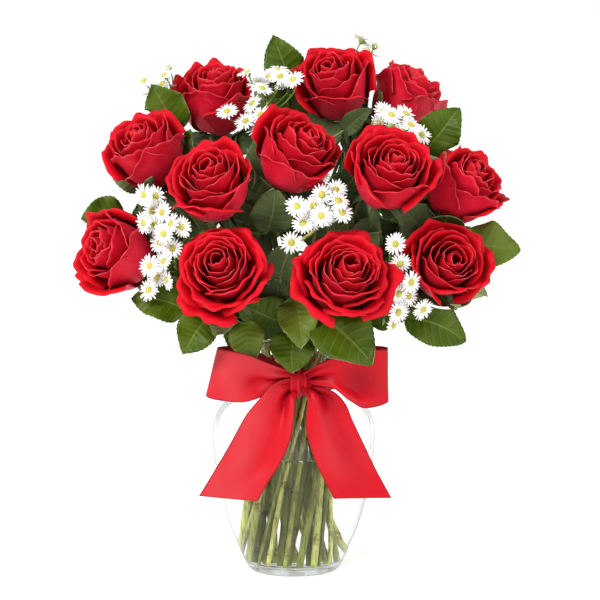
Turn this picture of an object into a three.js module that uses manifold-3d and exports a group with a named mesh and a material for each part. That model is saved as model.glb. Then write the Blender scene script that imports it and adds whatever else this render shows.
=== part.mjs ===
// A dozen red roses with white asters and green leaves, standing in a ginger-jar
// vase of clear glass with a red satin bow tied round its neck.
//
// Millimetres, +Z up. The origin is the centre of the vase's underside, on the
// surface that it stands on. The bow faces -Y, and +X is on its right.

import * as THREE from 'three';
import { mergeVertices } from 'three/addons/utils/BufferGeometryUtils.js';
import Module from 'manifold-3d';

const wasm = await Module();
wasm.setup();

const DEG = Math.PI / 180;
const V = (x, y, z) => new THREE.Vector3(x, y, z);
const UP = V(0, 0, 1);

// ---------------------------------------------------------------- dimensions

const CLEARANCE = 0.3;          // between pieces that rest on or pass through each other

// The vase: radius and height of its outside, from the edge of the foot to the rim.
const VASE_OUTSIDE = [
  [31, 0], [38.6, 10], [43.4, 21.5], [48.4, 33], [53.6, 50], [58.6, 73], [61.2, 98],
  [60.2, 114], [54.5, 125], [47, 131], [40.5, 137], [37.6, 146], [38.4, 159], [44, 180],
];
const GLASS = 2.6;              // wall thickness
const VASE_FLOOR = 7;           // thickness of the base
const FLOOR_CORNER = 3;         // how far in the floor's flat part starts
const VASE_SIDES = 24;
const WATER_LEVEL = 93;

// The stems cross in a slim waist under the neck and spread again to the floor,
// each one straight as far as the neck: two rings of lines that all lean one way.
const WAIST_HEIGHT = 118;
const KNEE_HEIGHT = 150;        // where the straight part ends
const OUTER_RING = { radius: 19.5, slots: 20, lean: 0.2 };
const INNER_RING = { radius: 9.6, slots: 10, lean: 0.13 };
const CENTRE = { radius: 0, slots: 1, lean: 0 };
const HIP = [[0, -9], [5.4, -4], [4.8, -CLEARANCE], [0, -CLEARANCE]];   // swelling under a bloom
const HIP_DEPTH = 3;            // how far under the bloom its stem ends, inside the hip
const STEM_STEPS = 7;
const HANDLES = [0.5, 0.22];    // reach of a stem's curve at its knee and at its end, by their distance
const FOOT = 1.2;               // a cut stem's middle stands this far over the vase's floor
const ROSE_STEM = 2.7;          // radii of the stems
const SALAL_STEM = 1.9;
const ASTER_STEM = 1.6;

// The blooms.
const BLOOM_HEIGHT = 52;        // from the top of the hip to the tips of the inner petals
const BLOOM_CENTRE = 30;        // height of a bloom's given centre over its hip
const PETAL = 0.8;              // thickness
const PETALS = 8;
// The tight middle: radius at its foot, radius halfway up as a share of the bloom's,
// and how far it ends under the tips of the inner petals.
const CORE = { foot: 5.2, waist: 0.2, under: 2 };
const GOLDEN = 137.5 * DEG;     // the turn from one petal, or one floret, to the next
const TURNED = 100 * DEG;       // the turn from one bloom to the next
const YOUNGEST = 0.14;          // age of the innermost petal
const OUTER = 0.8;              // age from which a petal has one more row of faces
// From root to lip a petal's outline is a curve with handles at its belly and its
// shoulder. Radii are shares of the bloom's, for the innermost, a middle and the
// outermost petal, and heights are millimetres over the hip.
const ROOT = { radius: 3, height: [14, 7.7, 1.4] };
const BELLY = { radius: [0.24, 0.60, 0.98], height: [16, 5, -2] };
const SHOULDER = { radius: [0.22, 0.52, 0.94], height: [40, 36, 26] };
const LIP = { radius: [0.08, 0.50, 1], height: [52, 50, 50], spread: 0.16 };
// As a bloom opens its outer petals lean out: the belly and shoulder draw in, by
// shares of the radius, and the lip sinks, in millimetres.
const FLARE = { belly: 0.2, shoulder: 0.28, lip: 17 };
// A petal's corners are rounded off by a share of its height, from the innermost to
// the outermost, and it wraps this far to each side, in degrees, less at its root.
const ROUNDED = { inner: 0.16, outer: 0.22, power: 2.6 };
const WRAP = { inner: 84, outer: 62, root: 0.28, full: 0.62 };

// Each rose: centre and outline radius of the bloom, the way that it faces,
// how far it has opened (0 to 1) and its stem's place in the waist.
const ROSES = [
  { centre: [-60, 22, 357], faces: [-0.04, -0.34, 0.94], radius: 31, open: 0.5, ring: INNER_RING, slot: 3 },
  { centre: [32, 14, 368], faces: [-0.22, -0.56, 0.79], radius: 31, open: 0.5, ring: INNER_RING, slot: 0 },
  { centre: [86, 42, 356], faces: [0.56, -0.10, 0.82], radius: 28, open: 0.4, ring: INNER_RING, slot: 9 },
  { centre: [-110, -22, 320], faces: [-0.47, -0.44, 0.76],
    radius: 31, open: 0.3, ring: OUTER_RING, slot: 8 },
  { centre: [-60, -66, 302], faces: [-0.24, -0.64, 0.73],
    radius: 34, open: 0.6, ring: INNER_RING, slot: 5 },
  { centre: [2, -48, 323], faces: [0.45, -0.52, 0.73], radius: 34, open: 0.5, ring: INNER_RING, slot: 6 },
  { centre: [71, -62, 309], faces: [0.20, -0.67, 0.71], radius: 35, open: 0.55, ring: INNER_RING, slot: 8 },
  { centre: [127, -22, 294], faces: [0.65, -0.42, 0.63],
    radius: 30, open: 0.4, ring: OUTER_RING, slot: 19 },
  { centre: [-132, -42, 247], faces: [-0.77, -0.55, 0.32],
    radius: 32, open: 0.3, ring: OUTER_RING, slot: 10 },
  { centre: [-51, -88, 238], faces: [-0.22, -0.86, 0.47],
    radius: 37, open: 0.95, ring: OUTER_RING, slot: 12 },
  { centre: [35, -90, 236], faces: [0.21, -0.75, 0.63], radius: 39, open: 1, ring: OUTER_RING, slot: 14 },
  { centre: [112, -48, 240], faces: [0.26, -0.86, 0.43],
    radius: 32, open: 0.5, ring: OUTER_RING, slot: 18 },
];

// ------------------------------------------------------------------- solids

// A closed mesh as a solid: its shared corners are joined and flat triangles dropped.
function solidOf(geometry) {
  const bare = geometry.clone();
  bare.deleteAttribute('normal');
  bare.deleteAttribute('uv');
  const joined = mergeVertices(bare, 1e-4);
  const corners = [];
  const index = joined.index.array;
  for (let i = 0; i < index.length; i += 3) {
    const [a, b, c] = [index[i], index[i + 1], index[i + 2]];
    if (a !== b && b !== c && c !== a) corners.push(a, b, c);
  }
  return new wasm.Manifold(new wasm.Mesh({
    numProp: 3,
    vertProperties: new Float32Array(joined.attributes.position.array),
    triVerts: new Uint32Array(corners),
  }));
}

function geometryOf(solid) {
  const mesh = solid.getMesh();
  const geometry = new THREE.BufferGeometry();
  geometry.setAttribute('position', new THREE.BufferAttribute(new Float32Array(mesh.vertProperties), 3));
  geometry.setIndex(new THREE.BufferAttribute(new Uint32Array(mesh.triVerts), 1));
  geometry.computeVertexNormals();
  return geometry;
}

// Joins solids into the one body that they make. A pocket that joining seals is filled.
function fuse(solids) {
  let whole = solids[0];
  for (const solid of solids.slice(1)) whole = whole.add(solid);
  const bodies = whole.simplify(0.02).decompose();
  return bodies.reduce((largest, body) => (body.volume() > largest.volume() ? body : largest));
}

function meshOf(points, faces) {
  const geometry = new THREE.BufferGeometry();
  const numbers = points.flatMap((point) => point.toArray());
  geometry.setAttribute('position', new THREE.Float32BufferAttribute(numbers, 3));
  return geometry.setIndex(faces);
}

// A blade: a grid of points across its middle surface, thickened to both sides.
function bladeSolid(rows, thickness) {
  const last = rows.length - 1;
  const width = rows[0].length;
  const side = width - 1;
  const points = [];
  for (const sign of [0.5, -0.5]) {
    rows.forEach((row, i) => row.forEach((point, j) => {
      const along = V().subVectors(rows[Math.min(i + 1, last)][j], rows[Math.max(i - 1, 0)][j]);
      const across = V().subVectors(row[Math.min(j + 1, side)], row[Math.max(j - 1, 0)]);
      const normal = across.cross(along).normalize();
      points.push(point.clone().addScaledVector(normal, sign * thickness));
    }));
  }
  const under = rows.length * width;
  const faces = [];
  const quad = (a, b, c, d) => faces.push(a, b, c, a, c, d);
  for (let i = 0; i < last; i += 1) {
    for (let j = 0; j < side; j += 1) {
      const [a, b] = [i * width + j, i * width + j + 1];
      const [c, d] = [b + width, a + width];
      quad(a, b, c, d);
      faces.push(under + a, under + c, under + b, under + a, under + d, under + c);
    }
    const [here, next] = [i * width, (i + 1) * width];
    quad(here + side, here + side + under, next + side + under, next + side);
    quad(next, next + under, here + under, here);
  }
  for (let j = 0; j < side; j += 1) {
    quad(j, j + under, j + 1 + under, j + 1);
    const end = last * width + j;
    quad(end + 1, end + 1 + under, end + under, end);
  }
  return solidOf(meshOf(points, faces));
}

// A rod of even section along a curve.
function rodSolid(curve, radius, sides, steps) {
  const section = new THREE.Shape();
  for (let i = 0; i < sides; i += 1) {
    const angle = (i / sides) * 2 * Math.PI;
    const [x, y] = [radius * Math.cos(angle), radius * Math.sin(angle)];
    if (i === 0) section.moveTo(x, y);
    else section.lineTo(x, y);
  }
  section.closePath();
  return solidOf(new THREE.ExtrudeGeometry(section, { steps, extrudePath: curve, bevelEnabled: false }));
}

function turnedSolid(profile, sides) {
  return solidOf(new THREE.LatheGeometry(profile.map(([r, z]) => new THREE.Vector2(r, z)), sides)
    .rotateX(Math.PI / 2));
}

function named(name, solid, color, roughness, more = {}) {
  const mesh = new THREE.Mesh(geometryOf(solid),
    new THREE.MeshStandardMaterial({ color, roughness, metalness: 0, ...more }));
  mesh.name = name;
  return mesh;
}

// A small seeded generator, for turns and lengths that vary as they do in nature.
function seeded(seed) {
  let state = seed;
  return () => {
    state = (state * 16807) % 2147483647;
    return state / 2147483647;
  };
}

// --------------------------------------------------------------------- vase

const CLEAR = { transparent: true, opacity: 0.3 };

// The wall's inside: the outside moved in by the glass, down to the thick floor.
function vaseInside() {
  return VASE_OUTSIDE.map(([r, z], i) => {
    const [r0, z0] = VASE_OUTSIDE[Math.max(i - 1, 0)];
    const [r1, z1] = VASE_OUTSIDE[Math.min(i + 1, VASE_OUTSIDE.length - 1)];
    const length = Math.hypot(r1 - r0, z1 - z0);
    const shift = i === VASE_OUTSIDE.length - 1 ? 0 : ((r1 - r0) / length) * GLASS;
    return [r - ((z1 - z0) / length) * GLASS, z + shift];
  }).filter(([, z], i) => z > VASE_FLOOR && i % 2);
}

function vase() {
  const inside = vaseInside();
  const floorEdge = inside[0][0] - FLOOR_CORNER;
  const profile = [[0, 0], ...VASE_OUTSIDE, ...inside.reverse(), [floorEdge, VASE_FLOOR], [0, VASE_FLOOR]];
  return named('vase', turnedSolid(profile, VASE_SIDES), 0xe8f0f0, 0.05, CLEAR);
}

// The water fills the vase to its level, and the stems stand in plain holes in it.
function water(holes) {
  const bottom = VASE_FLOOR + CLEARANCE;
  const wall = vaseInside();
  const above = wall.findIndex(([, z]) => z > WATER_LEVEL);
  const [[r0, z0], [r1, z1]] = [wall[above - 1], wall[above]];
  const edge = r0 + ((r1 - r0) * (WATER_LEVEL - z0)) / (z1 - z0);
  const sides = [...wall.slice(0, above), [edge, WATER_LEVEL]].map(([r, z]) => [r - CLEARANCE, z]);
  const profile = [[0, bottom], [wall[0][0] - FLOOR_CORNER, bottom], ...sides, [0, WATER_LEVEL]];
  let body = turnedSolid(profile, VASE_SIDES);
  for (const hole of holes) body = body.subtract(hole);
  return named('water', body, 0xdfeeee, 0.02, CLEAR);
}

// -------------------------------------------------------------------- stems

// A stem's straight line through the waist, at a given height.
function onStraight({ ring, slot }, height) {
  const angle = (slot / ring.slots) * 2 * Math.PI;
  const slide = ring.lean * (height - WAIST_HEIGHT);
  return V(ring.radius * Math.cos(angle) - slide * Math.sin(angle),
    ring.radius * Math.sin(angle) + slide * Math.cos(angle), height);
}

// Straight from the floor to the knee, then curving to an end that it meets head on.
function stemCurve(place, end, heading) {
  const foot = onStraight(place, VASE_FLOOR + FOOT);
  const knee = onStraight(place, KNEE_HEIGHT);
  const rise = V().subVectors(knee, foot).normalize();
  const span = knee.distanceTo(end);
  const curve = new THREE.CurvePath();
  curve.add(new THREE.LineCurve3(foot, knee));
  curve.add(new THREE.CubicBezierCurve3(knee, knee.clone().addScaledVector(rise, HANDLES[0] * span),
    end.clone().addScaledVector(heading, -HANDLES[1] * span), end));
  return curve;
}

// The way from the vase's mouth out to the end of a branch.
const outward = (end) => V().subVectors(end, V(0, 0, KNEE_HEIGHT)).normalize();

// The straight hole that a stem stands in, through the water from under it to over it.
function holeFor(place, radius, sides) {
  const line = new THREE.LineCurve3(onStraight(place, 0), onStraight(place, 1.1 * WATER_LEVEL));
  return rodSolid(line, radius + CLEARANCE / Math.cos(Math.PI / sides), sides, 1);
}

// -------------------------------------------------------------------- roses

function roseFrame(rose) {
  const axis = V(...rose.faces).normalize();
  const centre = V(...rose.centre);
  return { ...rose, axis, centre, base: centre.clone().addScaledVector(axis, -BLOOM_CENTRE) };
}
const roses = ROSES.map(roseFrame);

// Where two blooms press together they flatten against the plane between them.
const PRESS = 7;                // depth over which a petal gives way
const BETWEEN = 1;              // from a pressed petal to the plane
function pressed(point, rose) {
  for (const other of roses) {
    const apart = V().subVectors(other.centre, rose.centre);
    const distance = apart.length();
    if (other === rose || distance > rose.radius + other.radius + PRESS) continue;
    apart.normalize();
    const border = (distance * rose.radius) / (rose.radius + other.radius) - BETWEEN;
    const reach = V().subVectors(point, rose.centre).dot(apart) - border + PRESS;
    if (reach > 0) point.addScaledVector(apart, PRESS * (1 - Math.exp(-reach / PRESS)) - reach);
  }
  return point;
}

// A measure that passes through three values as a petal's age goes from 0 to 1.
function byAge(age, [inner, middle, outer]) {
  const pull = 2 * middle - (inner + outer) / 2;
  return inner * (1 - age) ** 2 + 2 * pull * age * (1 - age) + outer * age ** 2;
}

// A point of a petal, in the bloom's own frame with its axis along Z. A petal of
// age 0 is wrapped tight in the middle, and one of age 1 is the outermost.
// Across runs from -1 to 1 and up from 0 at its root to 1 at its lip.
function petalPoint(age, turn, across, up, { radius, open }) {
  const spread = radius * (1 - LIP.spread / 2 + LIP.spread * open);
  const flare = open * age * age;
  const outline = new THREE.CubicBezierCurve3(
    V(ROOT.radius, 0, byAge(age, ROOT.height)),
    V((byAge(age, BELLY.radius) - FLARE.belly * flare) * radius, 0, byAge(age, BELLY.height)),
    V((byAge(age, SHOULDER.radius) - FLARE.shoulder * flare) * radius, 0, byAge(age, SHOULDER.height)),
    V(byAge(age, LIP.radius) * spread, 0, byAge(age, LIP.height) - FLARE.lip * flare),
  );
  const rounding = THREE.MathUtils.lerp(ROUNDED.inner, ROUNDED.outer, age);
  const { x: r, z } = outline.getPoint(up * (1 - rounding * Math.abs(across) ** ROUNDED.power));
  const wrap = THREE.MathUtils.lerp(WRAP.inner, WRAP.outer, age) * DEG;
  const angle = turn + across * wrap * THREE.MathUtils.lerp(WRAP.root, 1, Math.min(1, up / WRAP.full));
  return V(r * Math.cos(angle), r * Math.sin(angle), z);
}

// The turn and place that carry a bloom's own frame into the bouquet.
function bloomSeat({ axis, base }) {
  const side = V().crossVectors(UP, axis).normalize();
  return new THREE.Matrix4().makeBasis(side, V().crossVectors(axis, side), axis).setPosition(base);
}

function roseBloom(rose, number) {
  const seat = bloomSeat(rose);
  const place = (point) => pressed(point.applyMatrix4(seat), rose);
  const spin = number * TURNED;
  const bud = [[0, CLEARANCE], [CORE.foot, CLEARANCE],
    [CORE.waist * rose.radius, BLOOM_HEIGHT / 2], [0, BLOOM_HEIGHT - CORE.under]];
  const core = turnedSolid(bud, 5);
  const parts = [core.transform(seat.elements)];
  for (let i = 0; i < PETALS; i += 1) {
    const age = YOUNGEST + ((1 - YOUNGEST) * i) / (PETALS - 1);
    const steps = age < OUTER ? [0, 0.5, 1] : [0, 0.4, 0.75, 1];
    const rows = steps.map((up) => [-1, -1 / 3, 1 / 3, 1].map((across) => (
      place(petalPoint(age, spin + i * GOLDEN, across, up, rose)))));
    parts.push(bladeSolid(rows, PETAL));
  }
  return fuse(parts);
}

// -------------------------------------------------------------------- green

// Leaves and asters are bent clear of the blooms.
function bentClear(point, gap = 2.5) {
  for (const { centre, axis, radius } of roses) {
    const away = V().subVectors(point, centre);
    const along = away.dot(axis);
    const aside = Math.sqrt(Math.max(0, away.lengthSq() - along * along));
    const depth = Math.hypot(aside / (radius + gap), along / (BLOOM_CENTRE + gap));
    if (depth < 1 && depth > 0) point.copy(centre).addScaledVector(away, 1 / depth);
  }
  return point;
}

// A leaf on its stalk: from a point on the stem to the blade's base, then to the tip.
// The blade is folded along its rib and arched, and its edge waves up and down.
const LEAF = 0.8;               // thickness
const LEAF_STALK = 0.9;         // half the width of its stalk
const LEAF_ROWS = [[0, 0.1], [0.2, 0.88], [0.46, 1], [0.76, 0.62], [1, 0.03]];
const ARCH = 0.4;               // rise of the middle and fall of the ends, by the length squared
const FOLD = 0.25;              // rise of the edges over the rib, by the half width
const WAVE = 0.06;              // rise and fall of the edges, by the width
function leafSolid(root, { base, tip, width, faces }) {
  const [from, to] = [V(...base), V(...tip)];
  const length = from.distanceTo(to);
  const rib = V().subVectors(to, from).normalize();
  const side = V().crossVectors(rib, V(...faces)).normalize();
  const normal = V().crossVectors(side, rib);
  const rows = [[-1, 0, 1].map((across) => root.clone().addScaledVector(side, across * LEAF_STALK))];
  LEAF_ROWS.forEach(([up, share], i) => {
    const half = Math.max(LEAF_STALK, (width / 2) * share);
    rows.push([-1, 0, 1].map((across) => {
      const point = from.clone().addScaledVector(rib, up * length).addScaledVector(side, across * half);
      const arch = length * ARCH * up * (1 - up);
      const wave = across * (i % 2 ? 1 : -1) * WAVE * width;
      point.addScaledVector(normal, arch + Math.abs(across) * half * FOLD + wave);
      return bentClear(point);
    }));
  });
  return bladeSolid(rows, LEAF);
}

// The point of a curve that lies nearest to a place, held inside its upper part.
function nearestOn(curve, place) {
  let best = null;
  for (let t = 0.5; t < 1; t += 0.01) {
    const point = curve.getPointAt(t);
    const distance = point.distanceTo(place);
    if (!best || distance < best.distance) best = { point, distance };
  }
  return best.point;
}

// A stem with its leaves and whatever else grows on it, as one solid.
const stemHoles = [];
function leafyStem(place, end, heading, radius, leaves, extra = []) {
  const sides = radius > 2 ? 5 : 4;
  const curve = stemCurve(place, end, heading);
  stemHoles.push(holeFor(place, radius, sides));
  const parts = [rodSolid(curve, radius, sides, STEM_STEPS), ...extra];
  for (const leaf of leaves) parts.push(leafSolid(nearestOn(curve, V(...leaf.base)), leaf));
  return fuse(parts);
}

// The leaves of the rose stems, and the salal branches with theirs. Each leaf has
// its blade's base and tip, its width, and the way that its upper side faces.
const FRONT = [0, -1, 0.3];
const BACK = [0, 1, 0.3];
const ROSE_LEAVES = {
  1: [{ base: [-62, 52, 318], tip: [-92, 78, 300], width: 26, faces: BACK }],
  2: [{ base: [40, 48, 330], tip: [30, 78, 352], width: 26, faces: BACK }],
  3: [{ base: [80, 44, 312], tip: [112, 66, 296], width: 28, faces: BACK }],
  4: [{ base: [-110, 6, 292], tip: [-138, 2, 304], width: 22, faces: FRONT },
    { base: [-87, -30, 238], tip: [-92, -38, 285], width: 34, faces: FRONT }],
  5: [{ base: [-19, -46, 263], tip: [-13, -62, 298], width: 32, faces: FRONT }],
  6: [{ base: [27, -30, 247], tip: [18, -38, 296], width: 40, faces: FRONT },
    { base: [37, 0, 333], tip: [58, -20, 351], width: 16, faces: FRONT }],
  7: [{ base: [101, -20, 257], tip: [78, -34, 281], width: 34, faces: FRONT }],
  8: [{ base: [84, -36, 211], tip: [79, -46, 258], width: 36, faces: FRONT }],
  9: [{ base: [-98, -18, 236], tip: [-116, -24, 280], width: 38, faces: FRONT }],
  10: [{ base: [-52, -62, 204], tip: [-56, -78, 190], width: 22, faces: FRONT }],
  11: [{ base: [-10, -50, 228], tip: [0, -60, 257], width: 28, faces: FRONT }],
};

const SALAL = [
  // Top, behind the two highest roses.
  { ring: INNER_RING, slot: 2, end: [-4, 34, 352], leaves: [
    { base: [-3, 40, 356], tip: [-16, 31, 402], width: 34, faces: FRONT },
    { base: [-14, 44, 330], tip: [-28, 72, 360], width: 36, faces: BACK },
    { base: [6, 46, 332], tip: [24, 74, 350], width: 34, faces: BACK }] },
  // Upper left, between the outer roses.
  { ring: OUTER_RING, slot: 7, end: [-86, 12, 318], leaves: [
    { base: [-88, 8, 330], tip: [-106, -2, 367], width: 36, faces: FRONT },
    { base: [-96, 22, 312], tip: [-138, 40, 322], width: 34, faces: BACK }] },
  // Right, under the highest rose there.
  { ring: OUTER_RING, slot: 1, end: [92, 12, 306], leaves: [
    { base: [98, 4, 317], tip: [123, -2, 350], width: 34, faces: FRONT },
    { base: [104, 24, 296], tip: [142, 36, 300], width: 34, faces: BACK }] },
  // Far right.
  { ring: OUTER_RING, slot: 17, end: [114, -8, 246], leaves: [
    { base: [124, -20, 252], tip: [168, -15, 244], width: 36, faces: [0.2, -1, 0.5] },
    { base: [104, 2, 222], tip: [146, 18, 206], width: 36, faces: BACK }] },
  // Low right.
  { ring: OUTER_RING, slot: 16, end: [78, -44, 206], leaves: [
    { base: [82, -54, 200], tip: [126, -48, 181], width: 36, faces: [0.2, -1, 0.4] }] },
  // Far left.
  { ring: OUTER_RING, slot: 9, end: [-112, 0, 262], leaves: [
    { base: [-126, -6, 272], tip: [-158, -12, 268], width: 26, faces: FRONT },
    { base: [-108, 16, 246], tip: [-142, 34, 232], width: 34, faces: BACK }] },
  // Front, hanging over the bow.
  { ring: OUTER_RING, slot: 13, end: [2, -52, 210], leaves: [
    { base: [18, -70, 204], tip: [57, -88, 171], width: 46, faces: [0.1, -1, 0.5] },
    { base: [0, -62, 214], tip: [6, -84, 182], width: 30, faces: [-0.1, -1, 0.5] },
    { base: [2, -54, 190], tip: [-1, -66, 161], width: 34, faces: FRONT }] },
  // Low left.
  { ring: OUTER_RING, slot: 11, end: [-60, -44, 200], leaves: [
    { base: [-78, -54, 206], tip: [-119, -52, 214], width: 32, faces: [-0.1, -1, 0.5] },
    { base: [-64, -60, 200], tip: [-80, -72, 176], width: 30, faces: FRONT },
    { base: [-36, -54, 198], tip: [-30, -60, 168], width: 26, faces: FRONT }] },
  // Behind, low.
  { ring: OUTER_RING, slot: 5, end: [-20, 62, 238], leaves: [
    { base: [-34, 62, 236], tip: [-72, 78, 240], width: 36, faces: BACK },
    { base: [-20, 66, 244], tip: [-26, 88, 280], width: 38, faces: BACK },
    { base: [-14, 60, 222], tip: [-8, 84, 196], width: 34, faces: BACK }] },
  // Behind, right.
  { ring: OUTER_RING, slot: 3, end: [52, 52, 248], leaves: [
    { base: [62, 50, 246], tip: [98, 62, 236], width: 36, faces: BACK },
    { base: [50, 58, 256], tip: [52, 84, 290], width: 38, faces: BACK },
    { base: [40, 54, 232], tip: [34, 80, 206], width: 34, faces: BACK }] },
];

function roseStem(rose, number) {
  const end = rose.base.clone().addScaledVector(rose.axis, -HIP_DEPTH);
  const hip = turnedSolid(HIP, 5).transform(bloomSeat(rose).elements);
  return leafyStem(rose, end, rose.axis, ROSE_STEM, ROSE_LEAVES[number + 1] ?? [], [hip]);
}

function salalBranch(branch) {
  const end = V(...branch.end);
  return leafyStem(branch, end, outward(end), SALAL_STEM, branch.leaves);
}

// ------------------------------------------------------------------- asters

const HEAD = 8;                 // radius of a flower head
const HEAD_TOP = 1.6;           // rise of its middle
const HEAD_UNDER = 2.4;         // from its rim down to its stalk
const RAYS = 6;
const RAY_NOTCH = 0.45;         // radius between two rays, by the head's
const STALK = 0.7;
const HEADS_APART = 1.8 * HEAD;
const LAYER = 6;                // between the three depths at which the heads stand
const TWIG = 1.7;               // radius of the twig that carries a cluster
const TWIG_END = 16;            // from the twig's end out to the cluster's middle
const HEART = V(0, 40, 250);    // the middle of the bouquet, which the clusters face away from
const ASTERS = [
  { ring: OUTER_RING, slot: 6, hub: [-98, 36, 334],
    clusters: [{ at: [-100, 19, 370], size: [9, 11], heads: 3 }] },
  { ring: CENTRE, slot: 0, hub: [-24, 10, 330], clusters: [{ at: [-21, 0, 373], size: [22, 13], heads: 5 },
    { at: [-34, -12, 347], size: [18, 12], heads: 3 }] },
  { ring: INNER_RING, slot: 1, hub: [50, 56, 348],
    clusters: [{ at: [55, 40, 390], size: [22, 10], heads: 4 }] },
  { ring: OUTER_RING, slot: 0, hub: [66, -2, 318],
    clusters: [{ at: [80, -24, 342], size: [24, 19], heads: 6 }] },
  { ring: INNER_RING, slot: 4, hub: [-84, -40, 242],
    clusters: [{ at: [-99, -66, 256], size: [19, 44], heads: 10 }] },
  { ring: INNER_RING, slot: 7, hub: [16, -48, 264],
    clusters: [{ at: [22, -76, 286], size: [24, 20], heads: 7 },
    { at: [2, -76, 256], size: [2, 2], heads: 1 }] },
  { ring: OUTER_RING, slot: 15, hub: [72, -48, 216],
    clusters: [{ at: [77, -72, 230], size: [9, 38], heads: 5 },
    { at: [99, -68, 206], size: [2, 2], heads: 1 }] },
  { ring: OUTER_RING, slot: 4, hub: [4, 60, 290],
    clusters: [{ at: [8, 86, 306], size: [24, 18], heads: 4 }] },
];

// A head on its stalk: a flat star of rays, thicker in the middle, then a stalk of
// three sides that runs from under it to its root in the spray.
function headSolid(centre, axis, turn, root) {
  const side = V().crossVectors(axis, UP).normalize();
  const top = V().crossVectors(side, axis);
  const ring = (middle, count, radius) => Array.from({ length: count }, (_, i) => {
    const angle = turn + (i / count) * 2 * Math.PI;
    return middle.clone().addScaledVector(side, radius(i) * Math.cos(angle))
      .addScaledVector(top, radius(i) * Math.sin(angle));
  });
  const rim = ring(centre, 2 * RAYS, (i) => (i % 2 ? HEAD * RAY_NOTCH : HEAD));
  const neck = ring(centre.clone().addScaledVector(axis, -HEAD_UNDER), 3, () => STALK);
  const foot = neck.map((point) => point.clone().addScaledVector(axis, HEAD_UNDER).sub(centre).add(root));
  const points = [centre.clone().addScaledVector(axis, HEAD_TOP), ...rim, ...neck, ...foot, root];
  const [rimAt, neckAt, footAt] = [1, 1 + 2 * RAYS, 4 + 2 * RAYS];
  const faces = [];
  for (let i = 0; i < 2 * RAYS; i += 1) {
    const next = (i + 1) % (2 * RAYS);
    const arc = (2 * RAYS) / 3;
    const [near, ahead] = [Math.floor(i / arc), Math.floor((i + 1) / arc) % 3];
    faces.push(0, rimAt + next, rimAt + i, rimAt + i, rimAt + next, neckAt + near);
    if (ahead !== near) faces.push(rimAt + next, neckAt + ahead, neckAt + near);
  }
  for (let i = 0; i < 3; i += 1) {
    const next = (i + 1) % 3;
    faces.push(neckAt + i, neckAt + next, footAt + next, neckAt + i, footAt + next, footAt + i);
    faces.push(footAt + i, footAt + next, footAt + 3);
  }
  return solidOf(meshOf(points, faces));
}

function asterSpray({ hub, clusters, ...place }, number) {
  const random = seeded(number + 11);
  const end = V(...hub);
  const parts = [];
  const placed = [];
  for (const { at, size, heads } of clusters) {
    const centre = V(...at);
    const axis = V().subVectors(centre, HEART).normalize();
    const side = V().crossVectors(axis, UP).normalize();
    const top = V().crossVectors(side, axis);
    const fork = centre.clone().addScaledVector(axis, -TWIG_END).lerp(end, 0.15);
    parts.push(rodSolid(new THREE.LineCurve3(end, fork), TWIG, 3, 1));
    for (let i = 0; i < heads; i += 1) {
      const reach = Math.sqrt((i + 0.5) / heads);
      const angle = i * GOLDEN + random();
      const point = centre.clone()
        .addScaledVector(side, size[0] * reach * Math.cos(angle))
        .addScaledVector(top, size[1] * reach * Math.sin(angle))
        .addScaledVector(axis, LAYER * ((i % 3) - 1));
      for (const other of placed) {
        const apart = V().subVectors(point, other);
        if (apart.length() < HEADS_APART) point.copy(other).addScaledVector(apart.normalize(), HEADS_APART);
      }
      bentClear(point, HEAD + CLEARANCE * 2);
      placed.push(point);
      const faces = axis.clone().add(V(random() - 0.5, random() - 0.8, random() - 0.3).multiplyScalar(0.7));
      const root = fork.clone().lerp(end, (0.85 * i) / heads);
      parts.push(headSolid(point, faces.normalize(), random() * Math.PI, root));
    }
  }
  return leafyStem(place, end, outward(end), ASTER_STEM, [], parts);
}

// ------------------------------------------------------------------- ribbon

const RIBBON = 38;              // width of the satin ribbon
const SATIN = 0.8;              // thickness
const KNOT = { at: V(4, -48, 151), size: V(9, 8, 11), sides: 6, rings: 4 };
const BAND = { inside: 40.8, outside: 42, from: 142, to: 158, sides: 12 };

// One loop: out along the front, round the end and back behind. Each point of its
// route has its way out from the knot, its depth and the share of the ribbon's
// width that is spread there.
const LOOP = [[3, -50, 0.35], [16, -60, 0.55], [36, -66, 0.8], [58, -62, 1], [65, -55, 1],
  [60, -49, 1], [38, -47, 0.8], [16, -48, 0.5], [3, -47, 0.3]];
const LOOP_LENGTH = 65;
const LOOP_LIFT = 7;            // rise of its far end over the knot
function loopSolid(side) {
  const rows = LOOP.map(([out, y, share]) => {
    const half = (RIBBON / 2) * share;
    const middle = KNOT.at.z + (out / LOOP_LENGTH) * LOOP_LIFT;
    return [-1, 0, 1].map((up) => V(KNOT.at.x + side * out, y, middle + up * half));
  });
  return bladeSolid(side > 0 ? rows : rows.reverse(), SATIN);
}

// The tails: gathered at the knot, hanging over the vase and cut level. Each row
// runs from one edge to the other at a height, and its middle bulges forward.
const TAILS = [
  [[[-3, -52], [6, -55], 149, 0], [[-30, -50], [0, -62], 134, 3],
    [[-51, -48], [-8, -65], 101, 2], [[-69, -46], [-26, -62], 66, 1]],
  [[[2, -55], [11, -52], 149, 0], [[10, -62], [38, -50], 132, 3],
    [[13, -65], [55, -48], 101, 2], [[29, -62], [71, -46], 66, 1]],
];
function tailSolid(rows) {
  return bladeSolid(rows.map(([[x0, y0], [x1, y1], z, bulge]) => (
    [V(x0, y0, z), V((x0 + x1) / 2, (y0 + y1) / 2 - bulge, z), V(x1, y1, z)])), SATIN);
}

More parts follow.
